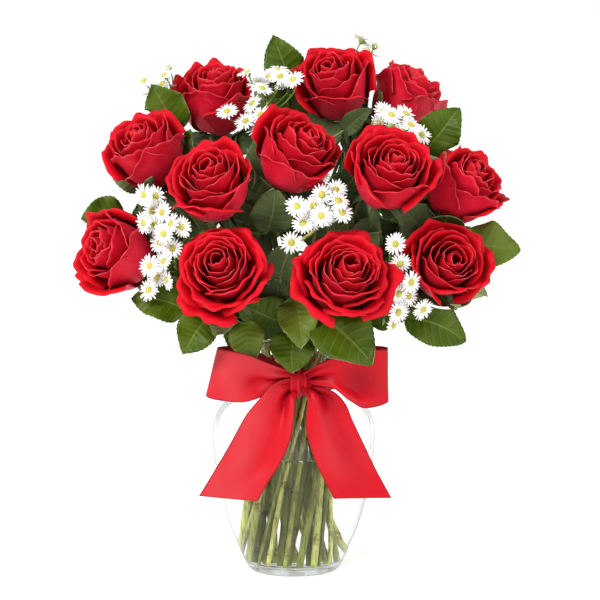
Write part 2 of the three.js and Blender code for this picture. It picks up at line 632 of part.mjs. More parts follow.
function ribbonBow() {
  const { inside, outside, from, to, sides } = BAND;
  const section = [[inside, from], [outside, from], [outside, to], [inside, to], [inside, from]];
  const band = turnedSolid(section, sides);
  const knot = solidOf(new THREE.SphereGeometry(1, KNOT.sides, KNOT.rings).scale(...KNOT.size.toArray())
    .translate(...KNOT.at.toArray()));
  return named('ribbon_bow', fuse([band, knot, loopSolid(-1), loopSolid(1), ...TAILS.map(tailSolid)]),
    0xd1202c, 0.45);
}

// ----------------------------------------------------------------- assembly

const GREEN = 0x4f7a2c;
const group = new THREE.Group();
const serial = (i) => String(i + 1).padStart(2, '0');

group.add(vase(), ribbonBow());
roses.forEach((rose, i) => {
  group.add(named(`rose_bloom_${serial(i)}`, roseBloom(rose, i), 0xb5121b, 0.6));
});
roses.forEach((rose, i) => {
  group.add(named(`rose_stem_${serial(i)}`, roseStem(rose, i), GREEN, 0.6));
});
SALAL.forEach((branch, i) => {
  group.add(named(`salal_branch_${serial(i)}`, salalBranch(branch), GREEN, 0.5));
});
ASTERS.forEach((spray, i) => {
  group.add(named(`aster_spray_${serial(i)}`, asterSpray(spray, i), 0xf2f2ea, 0.7));
});
group.add(water(stemHoles));

export default group;
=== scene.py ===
import math
import random

import bmesh
import bpy
import numpy as np
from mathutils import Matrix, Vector


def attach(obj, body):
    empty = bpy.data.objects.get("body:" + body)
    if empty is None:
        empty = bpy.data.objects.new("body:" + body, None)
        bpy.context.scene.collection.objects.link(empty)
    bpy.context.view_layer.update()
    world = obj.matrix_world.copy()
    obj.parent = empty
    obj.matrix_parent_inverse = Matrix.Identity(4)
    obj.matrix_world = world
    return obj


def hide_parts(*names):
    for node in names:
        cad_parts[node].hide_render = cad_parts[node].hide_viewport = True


# A dozen red roses with white asters and green leaves, in a ginger-jar vase of clear
# glass with a red satin bow. Lengths are worked out in millimetres, in the frame of the
# CAD: the origin is under the middle of the vase, the bow faces -Y and +Z is up.

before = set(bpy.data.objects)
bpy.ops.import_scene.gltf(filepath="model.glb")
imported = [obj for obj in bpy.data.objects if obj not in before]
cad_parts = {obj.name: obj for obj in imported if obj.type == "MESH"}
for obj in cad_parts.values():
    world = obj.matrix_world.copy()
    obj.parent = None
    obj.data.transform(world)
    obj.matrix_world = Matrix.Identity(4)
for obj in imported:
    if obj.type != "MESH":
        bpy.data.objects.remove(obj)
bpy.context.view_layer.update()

MM = 0.001
DEG = math.pi / 180
GOLDEN = 137.5 * DEG            # the turn from one petal, or one aster head, to the next
# What chance gives a piece starts from the seed of its kind and its own number.
BLOOM_SEED, ROSE_SEED, SALAL_SEED, ASTER_SEED = 100, 300, 400, 500
scene = bpy.context.scene


# ------------------------------------------------------------------ camera and light

CAMERA_HEIGHT = 8 * DEG         # over level
CAMERA_AWAY = 2.2               # metres from the middle of the picture
CAMERA_SEES = 100               # metres
LOOKS_AT = Vector((0.0047, 0, 0.2056))      # the middle of the picture, in metres
SENSOR, LENS = 36, 176
WALLS_SEEN, WALLS_LIGHT = 1.0, 0.7      # how bright the walls look, and how bright they light
KEY = ((-1.3, -1.5, 1.7), 0.8, 56)      # place and side in metres, power in watts
FILL = ((1.6, -1.2, 0.9), 1.2, 15)
FLOOR_RADIUS, FLOOR_SIDES = 30, 96      # metres
FLOOR_GLOW = 0.36


def camera():
    """The photographer's camera, a little above the vase."""
    data = bpy.data.cameras.new("camera")
    data.sensor_width, data.lens, data.clip_end = SENSOR, LENS, CAMERA_SEES
    seen_from = bpy.data.objects.new("camera", data)
    scene.collection.objects.link(seen_from)
    back = Vector((0, -math.cos(CAMERA_HEIGHT), math.sin(CAMERA_HEIGHT)))
    seen_from.location = LOOKS_AT + back * CAMERA_AWAY
    seen_from.rotation_euler = (-back).to_track_quat("-Z", "Y").to_euler()
    scene.camera = seen_from


def softbox(name, place, size, power):
    """A square lamp turned to the middle of the picture."""
    data = bpy.data.lights.new(name, "AREA")
    data.shape, data.size, data.size_y = "RECTANGLE", size, size
    data.energy = power
    lamp = bpy.data.objects.new(name, data)
    scene.collection.objects.link(lamp)
    lamp.location = place
    lamp.rotation_euler = (LOOKS_AT - Vector(place)).to_track_quat("-Z", "Y").to_euler()


def white_walls():
    """A white world that looks brighter in the glass than the light it gives."""
    world = bpy.data.worlds.new("studio")
    scene.world = world
    world.use_nodes = True
    nodes, links = world.node_tree.nodes, world.node_tree.links
    background = nodes["Background"]
    background.inputs["Color"].default_value = (1, 1, 1, 1)
    walls, ray = nodes.new("ShaderNodeMapRange"), nodes.new("ShaderNodeLightPath")
    walls.inputs["To Min"].default_value = WALLS_SEEN
    walls.inputs["To Max"].default_value = WALLS_LIGHT
    links.new(ray.outputs["Is Diffuse Ray"], walls.inputs["Value"])
    links.new(walls.outputs["Result"], background.inputs["Strength"])


def white_floor(look):
    """The white sweep that the vase stands on, which isn't part of it."""
    ground = bmesh.new()
    bmesh.ops.create_circle(ground, cap_ends=True, segments=FLOOR_SIDES, radius=FLOOR_RADIUS)
    mesh = bpy.data.meshes.new("floor")
    ground.to_mesh(mesh)
    ground.free()
    floor = bpy.data.objects.new("floor", mesh)
    scene.collection.objects.link(floor)
    mesh.materials.append(look)


# ------------------------------------------------------------------------- materials

class Value:
    """A socket that holds a number, with arithmetic written as Python."""

    def __init__(self, finish, socket):
        self.finish, self.socket = finish, socket

    def math(self, operation, *others, turned=False):
        """A Math node on this value and others, with this value last if turned."""
        given = [self, *others]
        if turned:
            given.reverse()
        node = self.finish.node("ShaderNodeMath", {"operation": operation}, given)
        return Value(self.finish, node.outputs[0])

    def __add__(self, other):
        return self.math("ADD", other)

    def __radd__(self, other):
        return self.math("ADD", other, turned=True)

    def __sub__(self, other):
        return self.math("SUBTRACT", other)

    def __rsub__(self, other):
        return self.math("SUBTRACT", other, turned=True)

    def __mul__(self, other):
        return self.math("MULTIPLY", other)

    def __rmul__(self, other):
        return self.math("MULTIPLY", other, turned=True)

    def abs(self):
        return self.math("ABSOLUTE")

    def clamp(self):
        return self.math("MAXIMUM", 0.0).math("MINIMUM", 1.0)

    def smooth(self, low, high):
        """0 under low, 1 over high, and an even rise between."""
        node = self.finish.node("ShaderNodeMapRange", {"interpolation_type": "SMOOTHSTEP"},
                                {"Value": self, "From Min": low, "From Max": high})
        return Value(self.finish, node.outputs["Result"])


class Finish:
    """A material, and the nodes that make it."""

    def __init__(self, name, **constants):
        self.material = bpy.data.materials.new(name)
        self.material.use_nodes = True
        self.tree = self.material.node_tree
        self.shader = self.tree.nodes["Principled BSDF"]
        self.output = self.tree.nodes["Material Output"]
        for socket, value in constants.items():
            self.shader.inputs[socket.replace("_", " ")].default_value = value

    def node(self, kind, settings=None, given=None):
        """A node of a kind, with its settings and the values or links of its sockets."""
        made = self.tree.nodes.new(kind)
        for name, value in (settings or {}).items():
            setattr(made, name, value)
        sockets = enumerate(given) if isinstance(given, (list, tuple)) else (given or {}).items()
        for key, value in sockets:
            socket = made.inputs[key]
            if isinstance(value, Value):
                self.tree.links.new(value.socket, socket)
            elif isinstance(value, bpy.types.NodeSocket):
                self.tree.links.new(value, socket)
            else:
                socket.default_value = value
        return made

    def place(self):
        """The three marks that each vertex carries: across, up, and one more of its kind."""
        read = self.node("ShaderNodeAttribute", {"attribute_name": "place"})
        split = self.node("ShaderNodeSeparateXYZ", given=[read.outputs["Vector"]])
        return [Value(self, socket) for socket in split.outputs]

    def where(self, scale=(1, 1, 1)):
        """Object coordinates in millimetres, stretched by a scale."""
        read = self.node("ShaderNodeTexCoord").outputs["Object"]
        return self.node("ShaderNodeMapping", given={
            "Vector": read, "Scale": [1000 * s for s in scale]}).outputs[0]

    def noise(self, vector, scale, detail=2.0):
        made = self.node("ShaderNodeTexNoise", given={
            "Vector": vector, "Scale": scale, "Detail": detail})
        return Value(self, made.outputs["Fac"])

    def vector(self, x, y, z):
        return self.node("ShaderNodeCombineXYZ", given=[x, y, z]).outputs[0]

    def mix(self, share, first, second):
        """From the first colour to the second, as share goes from 0 to 1."""
        colours = [(*c, 1) if isinstance(c, tuple) else c for c in (first, second)]
        made = self.node("ShaderNodeMix", {"data_type": "RGBA"},
                         {0: share, 6: colours[0], 7: colours[1]})
        return made.outputs[2]

    def colour(self, socket):
        self.tree.links.new(socket, self.shader.inputs["Base Color"])

    def bump(self, height, depth, strength=1.0):
        """Relief, from a height of 0 to 1 that stands for a depth in millimetres."""
        made = self.node("ShaderNodeBump", given={
            "Strength": strength, "Distance": depth * MM, "Height": height})
        self.tree.links.new(made.outputs[0], self.shader.inputs["Normal"])


def petal_inside():
    """The velvety upper face: darker towards the root as painted shade deep in the bloom, with fine
    streaks up to the lip and a painted highlight at the lip.
    """
    finish = Finish("petal_inside", Roughness=0.6, Sheen_Weight=0.05, Sheen_Roughness=0.4,
                    Sheen_Tint=(1.0, 0.1, 0.15, 1), Specular_IOR_Level=0.10)
    across, up, age = finish.place()
    streaks = finish.noise(finish.vector(across * 26, up * 2.2, age * 9), 1.0, 3.0)
    cloud = finish.noise(finish.where(), 0.06, 2.0)
    # Painted shade: the face darkens towards its root, where it lies deep in the bloom.
    deep = finish.mix((up * 1.3 - 0.25).clamp(), (0.22, 0.0, 0.004), (0.50, 0.0, 0.005))
    bright = finish.mix(cloud.smooth(0.35, 0.7), deep, (0.62, 0.001, 0.013))
    # Painted highlight: a lighter, pinker red at the lip, where the edge rolls.
    lip = up.smooth(0.86, 1.0) * 0.45
    tone = finish.mix(lip, bright, (0.60, 0.012, 0.026))
    finish.colour(finish.mix(streaks.smooth(0.35, 0.75) * 0.22, tone, (0.34, 0.0, 0.005)))
    finish.bump(streaks, 0.25, 0.5)
    return finish.material


def petal_outside():
    """The under face: a cooler, duller red with clearer veins, painted shade on the inner petals
    and a painted highlight at the lip.
    """
    finish = Finish("petal_outside", Roughness=0.5, Sheen_Weight=0.06, Sheen_Roughness=0.5,
                    Sheen_Tint=(1.0, 0.3, 0.4, 1), Specular_IOR_Level=0.18)
    across, up, age = finish.place()
    streaks = finish.noise(finish.vector(across * 22, up * 1.6, age * 7), 1.0, 3.0)
    cloud = finish.noise(finish.where(), 0.05, 2.0)
    # Painted shade: the inner petals, which sit in the heart of the bloom, are darker.
    body = finish.mix(age.smooth(0.3, 0.9), (0.40, 0.0, 0.006), (0.50, 0.003, 0.018))
    tone = finish.mix(cloud.smooth(0.35, 0.7) * age, body, (0.62, 0.010, 0.034))
    veined = finish.mix(streaks.smooth(0.4, 0.75) * 0.25, tone, (0.34, 0.0, 0.010))
    # Painted highlight: a lighter red at the lip, where the edge rolls.
    finish.colour(finish.mix(up.smooth(0.9, 1.0) * 0.5, veined, (0.66, 0.02, 0.04)))
    finish.bump(streaks, 0.3, 0.55)
    return finish.material


def petal_rim_highlight():
    """The petal's thin rim, painted as a light speckled line: a painted highlight where the edge
    rolls.
    """
    finish = Finish("petal_rim_highlight", Roughness=0.5, Specular_IOR_Level=0.4)
    speck = finish.noise(finish.where(), 0.16, 3.0)
    # Painted highlight: the rim is a lighter, speckled red.
    finish.colour(finish.mix(speck.smooth(0.45, 0.68), (0.56, 0.004, 0.012), (0.74, 0.10, 0.12)))
    return finish.material


VEINS, VEIN_LEAN = 8, 0.16      # side veins along a leaf, and how they lean to its tip
PALE_LEAF = 0.84                # a leaf with a tone over this is a pale one


def leaf_face(name, dark, light, rib, gloss):
    """A leaf's skin: a rib, side veins that lean to the tip, and a net between them."""
    finish = Finish(name, Roughness=gloss, Specular_IOR_Level=0.14)
    across, up, tone = finish.place()
    side = across.abs()
    middle = 1 - side.smooth(0.015, 0.07)
    slant = (up - side * VEIN_LEAN) * VEINS
    wave = (slant * (2 * math.pi)).math("COSINE")
    vein = wave.smooth(0.90, 1.0) * side.smooth(0.0, 0.1) * (1 - side.smooth(0.75, 1.0))
    net = finish.node("ShaderNodeTexVoronoi", {"feature": "DISTANCE_TO_EDGE"},
                      {"Vector": finish.where(), "Scale": 0.42})
    mesh = 1 - Value(finish, net.outputs["Distance"]).smooth(0.0, 0.12)
    cloud = finish.noise(finish.where(), 0.05, 3.0)
    body = finish.mix((cloud.smooth(0.3, 0.7) * 0.6 + tone * 0.4).clamp(), dark, light)
    body = finish.mix(tone.smooth(PALE_LEAF, 0.9) * 0.7, body, rib)
    lines = (vein * 0.4 + middle * 0.8 + mesh * 0.12).clamp()
    finish.colour(finish.mix(lines, body, rib))
    finish.bump(lines * -0.6 + wave * 0.25 + cloud * 0.3, 0.8, 0.6)
    return finish.material


def stem_skin():
    """Green bark that is paler and yellower downwards, partly its own colour and partly painted
    light on the stems inside the vase and under the ribbon, where they lie in shade, with streaks
    and brown scars.
    """
    finish = Finish("stem_skin", Roughness=0.45, Specular_IOR_Level=0.14)
    kind, up, scar = finish.place()
    cloud = finish.noise(finish.where((1, 1, 0.2)), 0.2, 3.0)
    streak = finish.noise(finish.where((1, 1, 0.05)), 0.9, 2.0)
    speck = finish.noise(finish.where(), 0.5, 3.0)
    low = finish.mix(kind.smooth(0.1, 0.9), (0.60, 0.61, 0.20), (0.13, 0.155, 0.036))
    # Painted light, in part: the stems are lighter below 150 mm and dark green over 255 mm,
    # brightened where the ribbon and the vase shade them.
    body = finish.mix(up.smooth(0.5, 0.85), low, (0.09, 0.13, 0.022))
    varied = finish.mix(cloud.smooth(0.4, 0.7) * 0.5, body, (0.30, 0.36, 0.08))
    streaked = finish.mix(streak.smooth(0.45, 0.7) * 0.7, varied, (0.06, 0.07, 0.016))
    browned = (scar + speck.smooth(0.66, 0.74) * 0.8) * speck.smooth(0.3, 0.6)
    finish.colour(finish.mix(browned.clamp(), streaked, (0.085, 0.045, 0.018)))
    finish.bump(streak + speck * 0.4, 0.3, 0.6)
    return finish.material


def calyx_green():
    """The plain green of hips, sepals, leaf stalks and the cups of asters."""
    finish = Finish("calyx_green", Roughness=0.5)
    cloud = finish.noise(finish.where(), 0.3)
    finish.colour(finish.mix(cloud.smooth(0.3, 0.7), (0.10, 0.20, 0.03), (0.20, 0.32, 0.06)))
    return finish.material


def aster_ray():
    """White, greenish towards the disc, with faint lines along the ray."""
    finish = Finish("aster_ray", Roughness=0.6, Sheen_Weight=0.2)
    across, up, _ = finish.place()
    line = finish.noise(finish.vector(across * 5, up * 0.6, 0.0), 1.0, 2.0)
    body = finish.mix(up.smooth(0.0, 0.4), (0.70, 0.76, 0.50), (0.92, 0.92, 0.90))
    finish.colour(finish.mix(line.smooth(0.5, 0.8) * 0.25, body, (0.74, 0.76, 0.72)))
    return finish.material


def aster_disc():
    """Yellow florets with greener gaps between them."""
    finish = Finish("aster_disc", Roughness=0.7)
    dots = finish.node("ShaderNodeTexVoronoi", {}, {"Vector": finish.where(), "Scale": 1.3})
    near = Value(finish, dots.outputs["Distance"])
    finish.colour(finish.mix(near.smooth(0.1, 0.6), (0.80, 0.62, 0.08), (0.45, 0.42, 0.06)))
    finish.bump(1 - near, 0.5, 0.8)
    return finish.material


RIBS_APART = 0.9                # from one rib of the satin to the next


def satin():
    """Ribbon satin: fine ribs across its width, a darker woven edge, and painted sheen and shade
    from the third mark.
    """
    finish = Finish("satin", Roughness=0.42, Sheen_Weight=0.05, Sheen_Roughness=0.4,
                    Sheen_Tint=(1.0, 0.4, 0.4, 1), Specular_IOR_Level=0.14)
    across, up, light = finish.place()
    ribs = (up * (2 * math.pi / RIBS_APART)).math("SINE")
    thread = finish.noise(finish.vector(across * 60, up * 0.25, 0.0), 1.0, 2.0)
    edge = across.abs().smooth(0.93, 0.98)
    body = finish.mix(thread.smooth(0.3, 0.7), (0.43, 0.001, 0.008), (0.50, 0.003, 0.012))
    cloud = finish.noise(finish.where((1, 1, 0.6)), 0.035, 1.0)
    # Painted sheen: a lighter, duller red where the third mark is high, on the lit loop and tail
    # and on hills, broken up by a cloud.
    body = finish.mix((light + (cloud - 0.5) * 1.6).clamp(), body, (0.47, 0.027, 0.034))
    # Painted shade: a deeper red where the third mark is under 0, towards the knot and in hollows.
    body = finish.mix((light * -1.0).clamp(), body, (0.20, 0.0, 0.006))
    finish.colour(finish.mix(edge * 0.7, body, (0.20, 0.004, 0.010)))
    finish.bump(ribs * 0.4 + thread, 0.06, 0.5)
    return finish.material


GLASS_INDEX, WATER_INDEX = 1.5, 1.33
SURFACE_INDEX = 1.05            # the top of the water, less than water so that it looks still
WALLS_MET = 4.5                 # a ray that has met more surfaces than this goes straight on
EDGE_FROM, EDGE_SHADE = 0.6, 0.6        # painted grey shade on the glass towards its edges: from where, how grey


def clear(name, index, tint):
    """Clear glass or water, which lets light through to what stands in it."""
    finish = Finish(name, Roughness=0.0, IOR=index, Base_Color=(*tint, 1),
                    Specular_Tint=(0.4, 0.4, 0.4, 1))
    finish.shader.inputs["Transmission Weight"].default_value = 1.0
    ray = finish.node("ShaderNodeLightPath")
    lit = Value(finish, ray.outputs["Is Shadow Ray"]) + Value(finish, ray.outputs["Is Diffuse Ray"])
    lost = Value(finish, ray.outputs["Ray Depth"]).math("GREATER_THAN", WALLS_MET)
    through = finish.node("ShaderNodeBsdfTransparent", given={"Color": (*tint, 1)})
    mixed = finish.node("ShaderNodeMixShader", given=[
        (lit + lost).clamp(), finish.shader.outputs[0], through.outputs[0]])
    # Painted shade: towards its silhouette the glass is mixed with a grey see-through shader, in
    # place of the grey that bent light gives at its edges.
    facing = Value(finish, finish.node("ShaderNodeLayerWeight").outputs["Facing"])
    edge = facing.smooth(EDGE_FROM, 1.0) * EDGE_SHADE * (1 - lit.clamp())
    shade = finish.node("ShaderNodeBsdfTransparent", given={"Color": (0.42, 0.45, 0.44, 1)})
    edged = finish.node("ShaderNodeMixShader", given=[edge, mixed.outputs[0], shade.outputs[0]])
    finish.tree.links.new(edged.outputs[0], finish.output.inputs["Surface"])
    return finish.material


def unseen():
    """The side of the water that lies against the glass, where nothing is seen."""
    return Finish("water_side", Alpha=0.0, Roughness=0.0).material


def floor_white():
    """Matt white that glows a little, so that shadows stay pale."""
    finish = Finish("floor_white", Roughness=0.9, Specular_IOR_Level=0.1,
                    Emission_Color=(1, 1, 1, 1), Emission_Strength=FLOOR_GLOW)
    soft = finish.noise(finish.where(), 0.0004, 2.0)
    finish.colour(finish.mix(soft, (0.90, 0.90, 0.90), (0.92, 0.92, 0.92)))
    return finish.material


# -------------------------------------------------------------------------- shapes

def smooth(value):
    """0 under 0, 1 over 1, and an even rise between."""
    value = np.clip(value, 0, 1)
    return value * value * (3 - 2 * value)


def unit(vector):
    """The same way, with a length of 1."""
    return vector / np.linalg.norm(vector)


def lengths(path):
    """How far along a path each of its points lies."""
    return np.concatenate([[0], np.linalg.norm(np.diff(path, axis=0), axis=1).cumsum()])


def cubic(a, b, c, d, t):
    """A curve from a at 0 to d at 1, with handles b and c."""
    return a * (1 - t) ** 3 + 3 * b * t * (1 - t) ** 2 + 3 * c * t * t * (1 - t) + d * t ** 3


def bow_of(a, b, c, d, count):
    """That many points along such a curve."""
    return cubic(a, b, c, d, np.linspace(0, 1, count)[:, None])


def rounded(points, steps):
    """A smooth line through points."""
    points = np.array(points, float)
    ends = np.concatenate([[2 * points[0] - points[1]], points, [2 * points[-1] - points[-2]]])
    line = []
    for i in range(len(points) - 1):
        a, b, c, d = ends[i:i + 4]
        for t in np.arange(steps) / steps:
            line.append(0.5 * (2 * b + (c - a) * t + (2 * a - 5 * b + 4 * c - d) * t * t
                               + (3 * b - a - 3 * c + d) * t ** 3))
    return np.array([*line, points[-1]])


def start():
    """An empty bmesh whose vertices can carry their place on the petal, leaf or ribbon."""
    shape = bmesh.new()
    shape.verts.layers.float_vector.new("place")
    return shape


def grid(shape, columns, rows, points, mark, thickness=0.0, looks=(0, 0, 0), weld=False):
    """A sheet with its vertices at points[row, column] and its marks on them.

    Looks are the material numbers of its face, of its back and of its rim."""
    verts = bmesh.ops.create_grid(shape, x_segments=columns, y_segments=rows, size=1)["verts"]
    layer = shape.verts.layers.float_vector["place"]
    for vert, point, note in zip(verts, points.reshape(-1, 3), mark.reshape(-1, 3)):
        vert.co = point * MM
        vert[layer] = note
    if weld:
        bmesh.ops.remove_doubles(shape, verts=verts, dist=1e-6)
        verts = [vert for vert in verts if vert.is_valid]
    faces = {face for vert in verts for face in vert.link_faces}
    for face in faces:
        face.material_index = looks[0]
    if thickness:
        thicken(shape, verts, faces, thickness * MM, looks)


def thicken(shape, verts, faces, thickness, looks):
    """Half the thickness to each side of a sheet, and a rim between its two faces."""
    before = len(shape.faces)
    shape.normal_update()
    for vert in verts:
        vert.co -= vert.normal * thickness / 2
    made = bmesh.ops.extrude_face_region(shape, geom=list(faces), use_keep_orig=True)["geom"]
    front = {one for one in made if isinstance(one, bmesh.types.BMFace)}
    for vert in [one for one in made if isinstance(one, bmesh.types.BMVert)]:
        vert.co += vert.normal * thickness
    for face in faces:
        face.material_index = looks[1]
    shape.faces.ensure_lookup_table()
    for number in range(before, len(shape.faces)):
        face = shape.faces[number]
        if face not in front:
            face.material_index = looks[2]


def spread(columns, rows):
    """Across from -1 to 1 and up from 0 to 1, for each vertex of a grid."""
    across = np.linspace(-1, 1, columns + 1)[None, :].repeat(rows + 1, 0)
    up = np.linspace(0, 1, rows + 1)[:, None].repeat(columns + 1, 1)
    return across, up


def rod(shape, path, radii, sides, look, marks=None):
    """A round rod along a path, closed at both ends, with marks for each point if given."""
    ahead = np.gradient(path, axis=0)
    ahead /= np.linalg.norm(ahead, axis=1)[:, None]
    side = unit(np.cross(ahead[0], (0.3, 0.9, 0.31)))
    rings = []
    around = np.linspace(0, 2 * np.pi, sides + 1)
    for point, way, radius in zip(path, ahead, radii):
        side = unit(side - way * (side @ way))
        other = np.cross(way, side)
        rings.append(point + radius * (np.cos(around)[:, None] * side
                                       + np.sin(around)[:, None] * other))
    rings = [np.repeat(path[:1], sides + 1, 0), *rings, np.repeat(path[-1:], sides + 1, 0)]
    marks = np.zeros((len(path), 3)) if marks is None else marks
    marks = np.concatenate([marks[:1], marks, marks[-1:]])
    marks = np.repeat(marks[:, None], sides + 1, 1)
    grid(shape, sides, len(path) + 1, np.array(rings), marks, looks=(look, look, look), weld=True)


def spindle(shape, foot, axis, profile, sides, look):
    """A round solid about an axis, from a profile of heights and radii."""
    heights, radii = np.array(profile)
    rod(shape, foot + heights[:, None] * axis, radii, sides, look)


def piece(name, shape, looks, node):
    """The finished object, riding on the one body and the node it replaces."""
    mesh = bpy.data.meshes.new(name)
    shape.normal_update()
    shape.to_mesh(mesh)
    shape.free()
    made = bpy.data.objects.new(name, mesh)
    scene.collection.objects.link(made)
    for look in looks:
        mesh.materials.append(look)
    mesh.shade_smooth()
    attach(made, "root")
    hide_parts(node)
    return made


# ---------------------------------------------------------------------------- vase

VASE_FLOOR = 7
# Radii and heights: up the outside, over the rim, and from the wall inside to the axis.
VASE_FOOT = [(0, 1.6), (24, 1.2), (28, 0.2), (30, 0), (32.6, 0.5), (34.6, 2.4), (36.6, 6)]
VASE_OUTSIDE = [
    (38.6, 10), (43.4, 21.5), (48.4, 33), (53.6, 50), (58.6, 73), (61.2, 98), (60.2, 114),
    (54.5, 125), (47, 131), (40.5, 137), (37.6, 146), (38.4, 159), (44, 180)]
VASE_RIM = [(44.6, 181.4), (44.2, 182.2), (43.2, 182.4), (42.2, 181.8)]
VASE_BOTTOM = [(34, 8.6), (30, 7.4), (24, VASE_FLOOR), (0, VASE_FLOOR)]
GLASS = 2.6                     # thickness of the wall
FLOOR_CURVES = 4                # over the floor, where the wall inside bends into it
WALL_STEPS, VASE_SIDES = 5, 112
WATER_LEVEL = 93
MENISCUS = 94.3                 # where the water's surface meets the glass
WATER_GAP = 0.05                # between the water and the glass


def vase_wall():
    """The outside line of the wall, and the same line moved in by the glass."""
    wall = rounded(VASE_OUTSIDE, WALL_STEPS)
    way = np.gradient(wall, axis=0)
    way /= np.linalg.norm(way, axis=1)[:, None]
    return wall, wall + GLASS * np.stack([-way[:, 1], way[:, 0]], 1)


def turned(shape, profile):
    """A profile of radii and heights, spun round the vase's axis."""
    verts = [shape.verts.new((r * MM, 0, z * MM)) for r, z in profile]
    edges = [shape.edges.new(pair) for pair in zip(verts, verts[1:])]
    bmesh.ops.spin(shape, geom=verts + edges, cent=(0, 0, 0), axis=(0, 0, 1),
                   angle=2 * math.pi, steps=VASE_SIDES, use_merge=True)
    bmesh.ops.remove_doubles(shape, verts=shape.verts, dist=1e-6)
    bmesh.ops.recalc_face_normals(shape, faces=shape.faces)


def vase(looks):
    """The glass, whose inside under the water has the look of glass in water."""
    wall, inside = vase_wall()
    inside = inside[inside[:, 1] > VASE_FLOOR + FLOOR_CURVES]
    edge = (np.interp(MENISCUS, inside[:, 1], inside[:, 0]), MENISCUS)
    inside = np.array(sorted([*map(tuple, inside), edge], key=lambda point: point[1]))[::-1]
    shape = start()
    turned(shape, [*VASE_FOOT, *wall, *VASE_RIM, *inside[1:], *VASE_BOTTOM])
    for face in shape.faces:
        x, y, z = face.calc_center_median() / MM
        within = math.hypot(x, y) < np.interp(z, wall[:, 1], wall[:, 0]) - GLASS / 2
        if within and VASE_FLOOR - 0.5 < z < MENISCUS:
            face.material_index = 1
    return piece("vase_glass", shape, looks, "vase")


def water(looks):
    """The water, whose surface climbs a little where it meets the glass."""
    _, wall = vase_wall()
    side = wall[(wall[:, 1] > VASE_FLOOR + FLOOR_CURVES) & (wall[:, 1] < WATER_LEVEL - 1)]
    edge = np.interp(MENISCUS, wall[:, 1], wall[:, 0])
    bottom = [*[(r, z + WATER_GAP) for r, z in VASE_BOTTOM[:0:-1]], VASE_BOTTOM[0]]
    top = [(edge, MENISCUS), (edge - 1, WATER_LEVEL + 0.4), (edge - 3, WATER_LEVEL),
           (0, WATER_LEVEL)]
    shape = start()
    turned(shape, [*bottom, *(side - (WATER_GAP, 0)), *top])
    for face in shape.faces:
        if face.calc_center_median().z < (WATER_LEVEL - 0.5) * MM:
            face.material_index = 1
    return piece("water_in_vase", shape, looks, "water")


# --------------------------------------------------------------------------- stems

WAIST_HEIGHT = 118
KNEE_HEIGHT = 150
# Rings of stems in the waist: radius, how many, and how far each leans round.
OUTER_RING, INNER_RING, CENTRE = (19.5, 20, 0.2), (9.6, 10, 0.13), (0, 1, 0)
FOOT = 1.2                      # from the vase's floor up to a stem's end
FOOT_ASIDE, BOWED = 5, 3        # at most, along X and along Y each
KNEE_PULL, END_PULL = 0.5, 0.22         # handles of the curve over the knee, by its length
STEM_POINTS, STEM_SIDES = 25, 10        # points under the knee, and as many over it
ROSE_STEM, SALAL_STEM, ASTER_STEM = 2.6, 1.7, 1.4
STEM_THINS = 0.12               # share of the radius, from foot to end
BARK_TOP = 300                  # the height that counts as 1 for the colours of the bark
# Nodes: reach along the stem, how much they swell and scar, how slim the stem is between
# them, where the first one is, how far apart they are, and how much is free at the end.
NODE, NODE_SWELLS, NODE_SCARS, BETWEEN_NODES = 4, (0.08, 0.3), (0.3, 1.2), 0.96
FIRST_NODE, NODES_APART, PAST_NODES = (8, 30), (22, 48), 20


def on_straight(ring, slot, height):
    """Where a stem of a ring stands at a height, below its knee."""
    radius, slots, lean = ring
    angle = slot / slots * 2 * math.pi
    slide = lean * (height - WAIST_HEIGHT)
    return np.array([radius * math.cos(angle) - slide * math.sin(angle),
                     radius * math.sin(angle) + slide * math.cos(angle), height])


def stem_path(ring, slot, end, heading):
    """Straight from the vase's floor to the knee, then curving to meet its end head on."""
    foot, knee = on_straight(ring, slot, VASE_FLOOR + FOOT), on_straight(ring, slot, KNEE_HEIGHT)
    chance = random.Random(ring[1] * 31 + slot)     # its own draws for each ring and slot
    rise, span = unit(knee - foot), np.linalg.norm(end - knee)
    curve = bow_of(knee, knee + rise * KNEE_PULL * span, end - heading * END_PULL * span, end,
                   STEM_POINTS)[1:]
    low = np.linspace(0, 1, STEM_POINTS)[:, None]
    straight = foot + (knee - foot) * low
    # No stem is quite straight: its foot lies a little aside, and it bows.
    aside, bow = (np.array([chance.uniform(-most, most), chance.uniform(-most, most), 0])
                  for most in (FOOT_ASIDE, BOWED))
    straight = straight + aside * (1 - low) ** 2 + bow * np.sin(np.pi * low) ** 2
    return np.concatenate([straight, curve])


def nearest_on(path, place):
    """The point of a stem's upper half that lies nearest to a place."""
    along = lengths(path)
    upper = path[along > 0.5 * along[-1]]
    return upper[np.argmin(np.linalg.norm(upper - place, axis=1))]


def stem(shape, path, radius, seed, look=0):
    """A stem with a swelling and a scar at each of its nodes."""
    chance = random.Random(seed)
    along = lengths(path)
    total, swell, scar = along[-1], np.zeros(len(path)), np.zeros(len(path))
    place = chance.uniform(*FIRST_NODE)
    while place < total - PAST_NODES:
        near = np.exp(-((along - place) / NODE) ** 2)
        swell += near * chance.uniform(*NODE_SWELLS)
        scar += near * chance.uniform(*NODE_SCARS)
        place += chance.uniform(*NODES_APART)
    thin = 1 - STEM_THINS * along / total
    marks = np.stack([np.full(len(path), chance.random()), path[:, 2] / BARK_TOP, scar], 1)
    rod(shape, path, radius * thin * (BETWEEN_NODES + swell), STEM_SIDES, look, marks)


# ---------------------------------------------------------------------------- roses

BLOOM_CENTRE = 30               # from a bloom's base to its middle
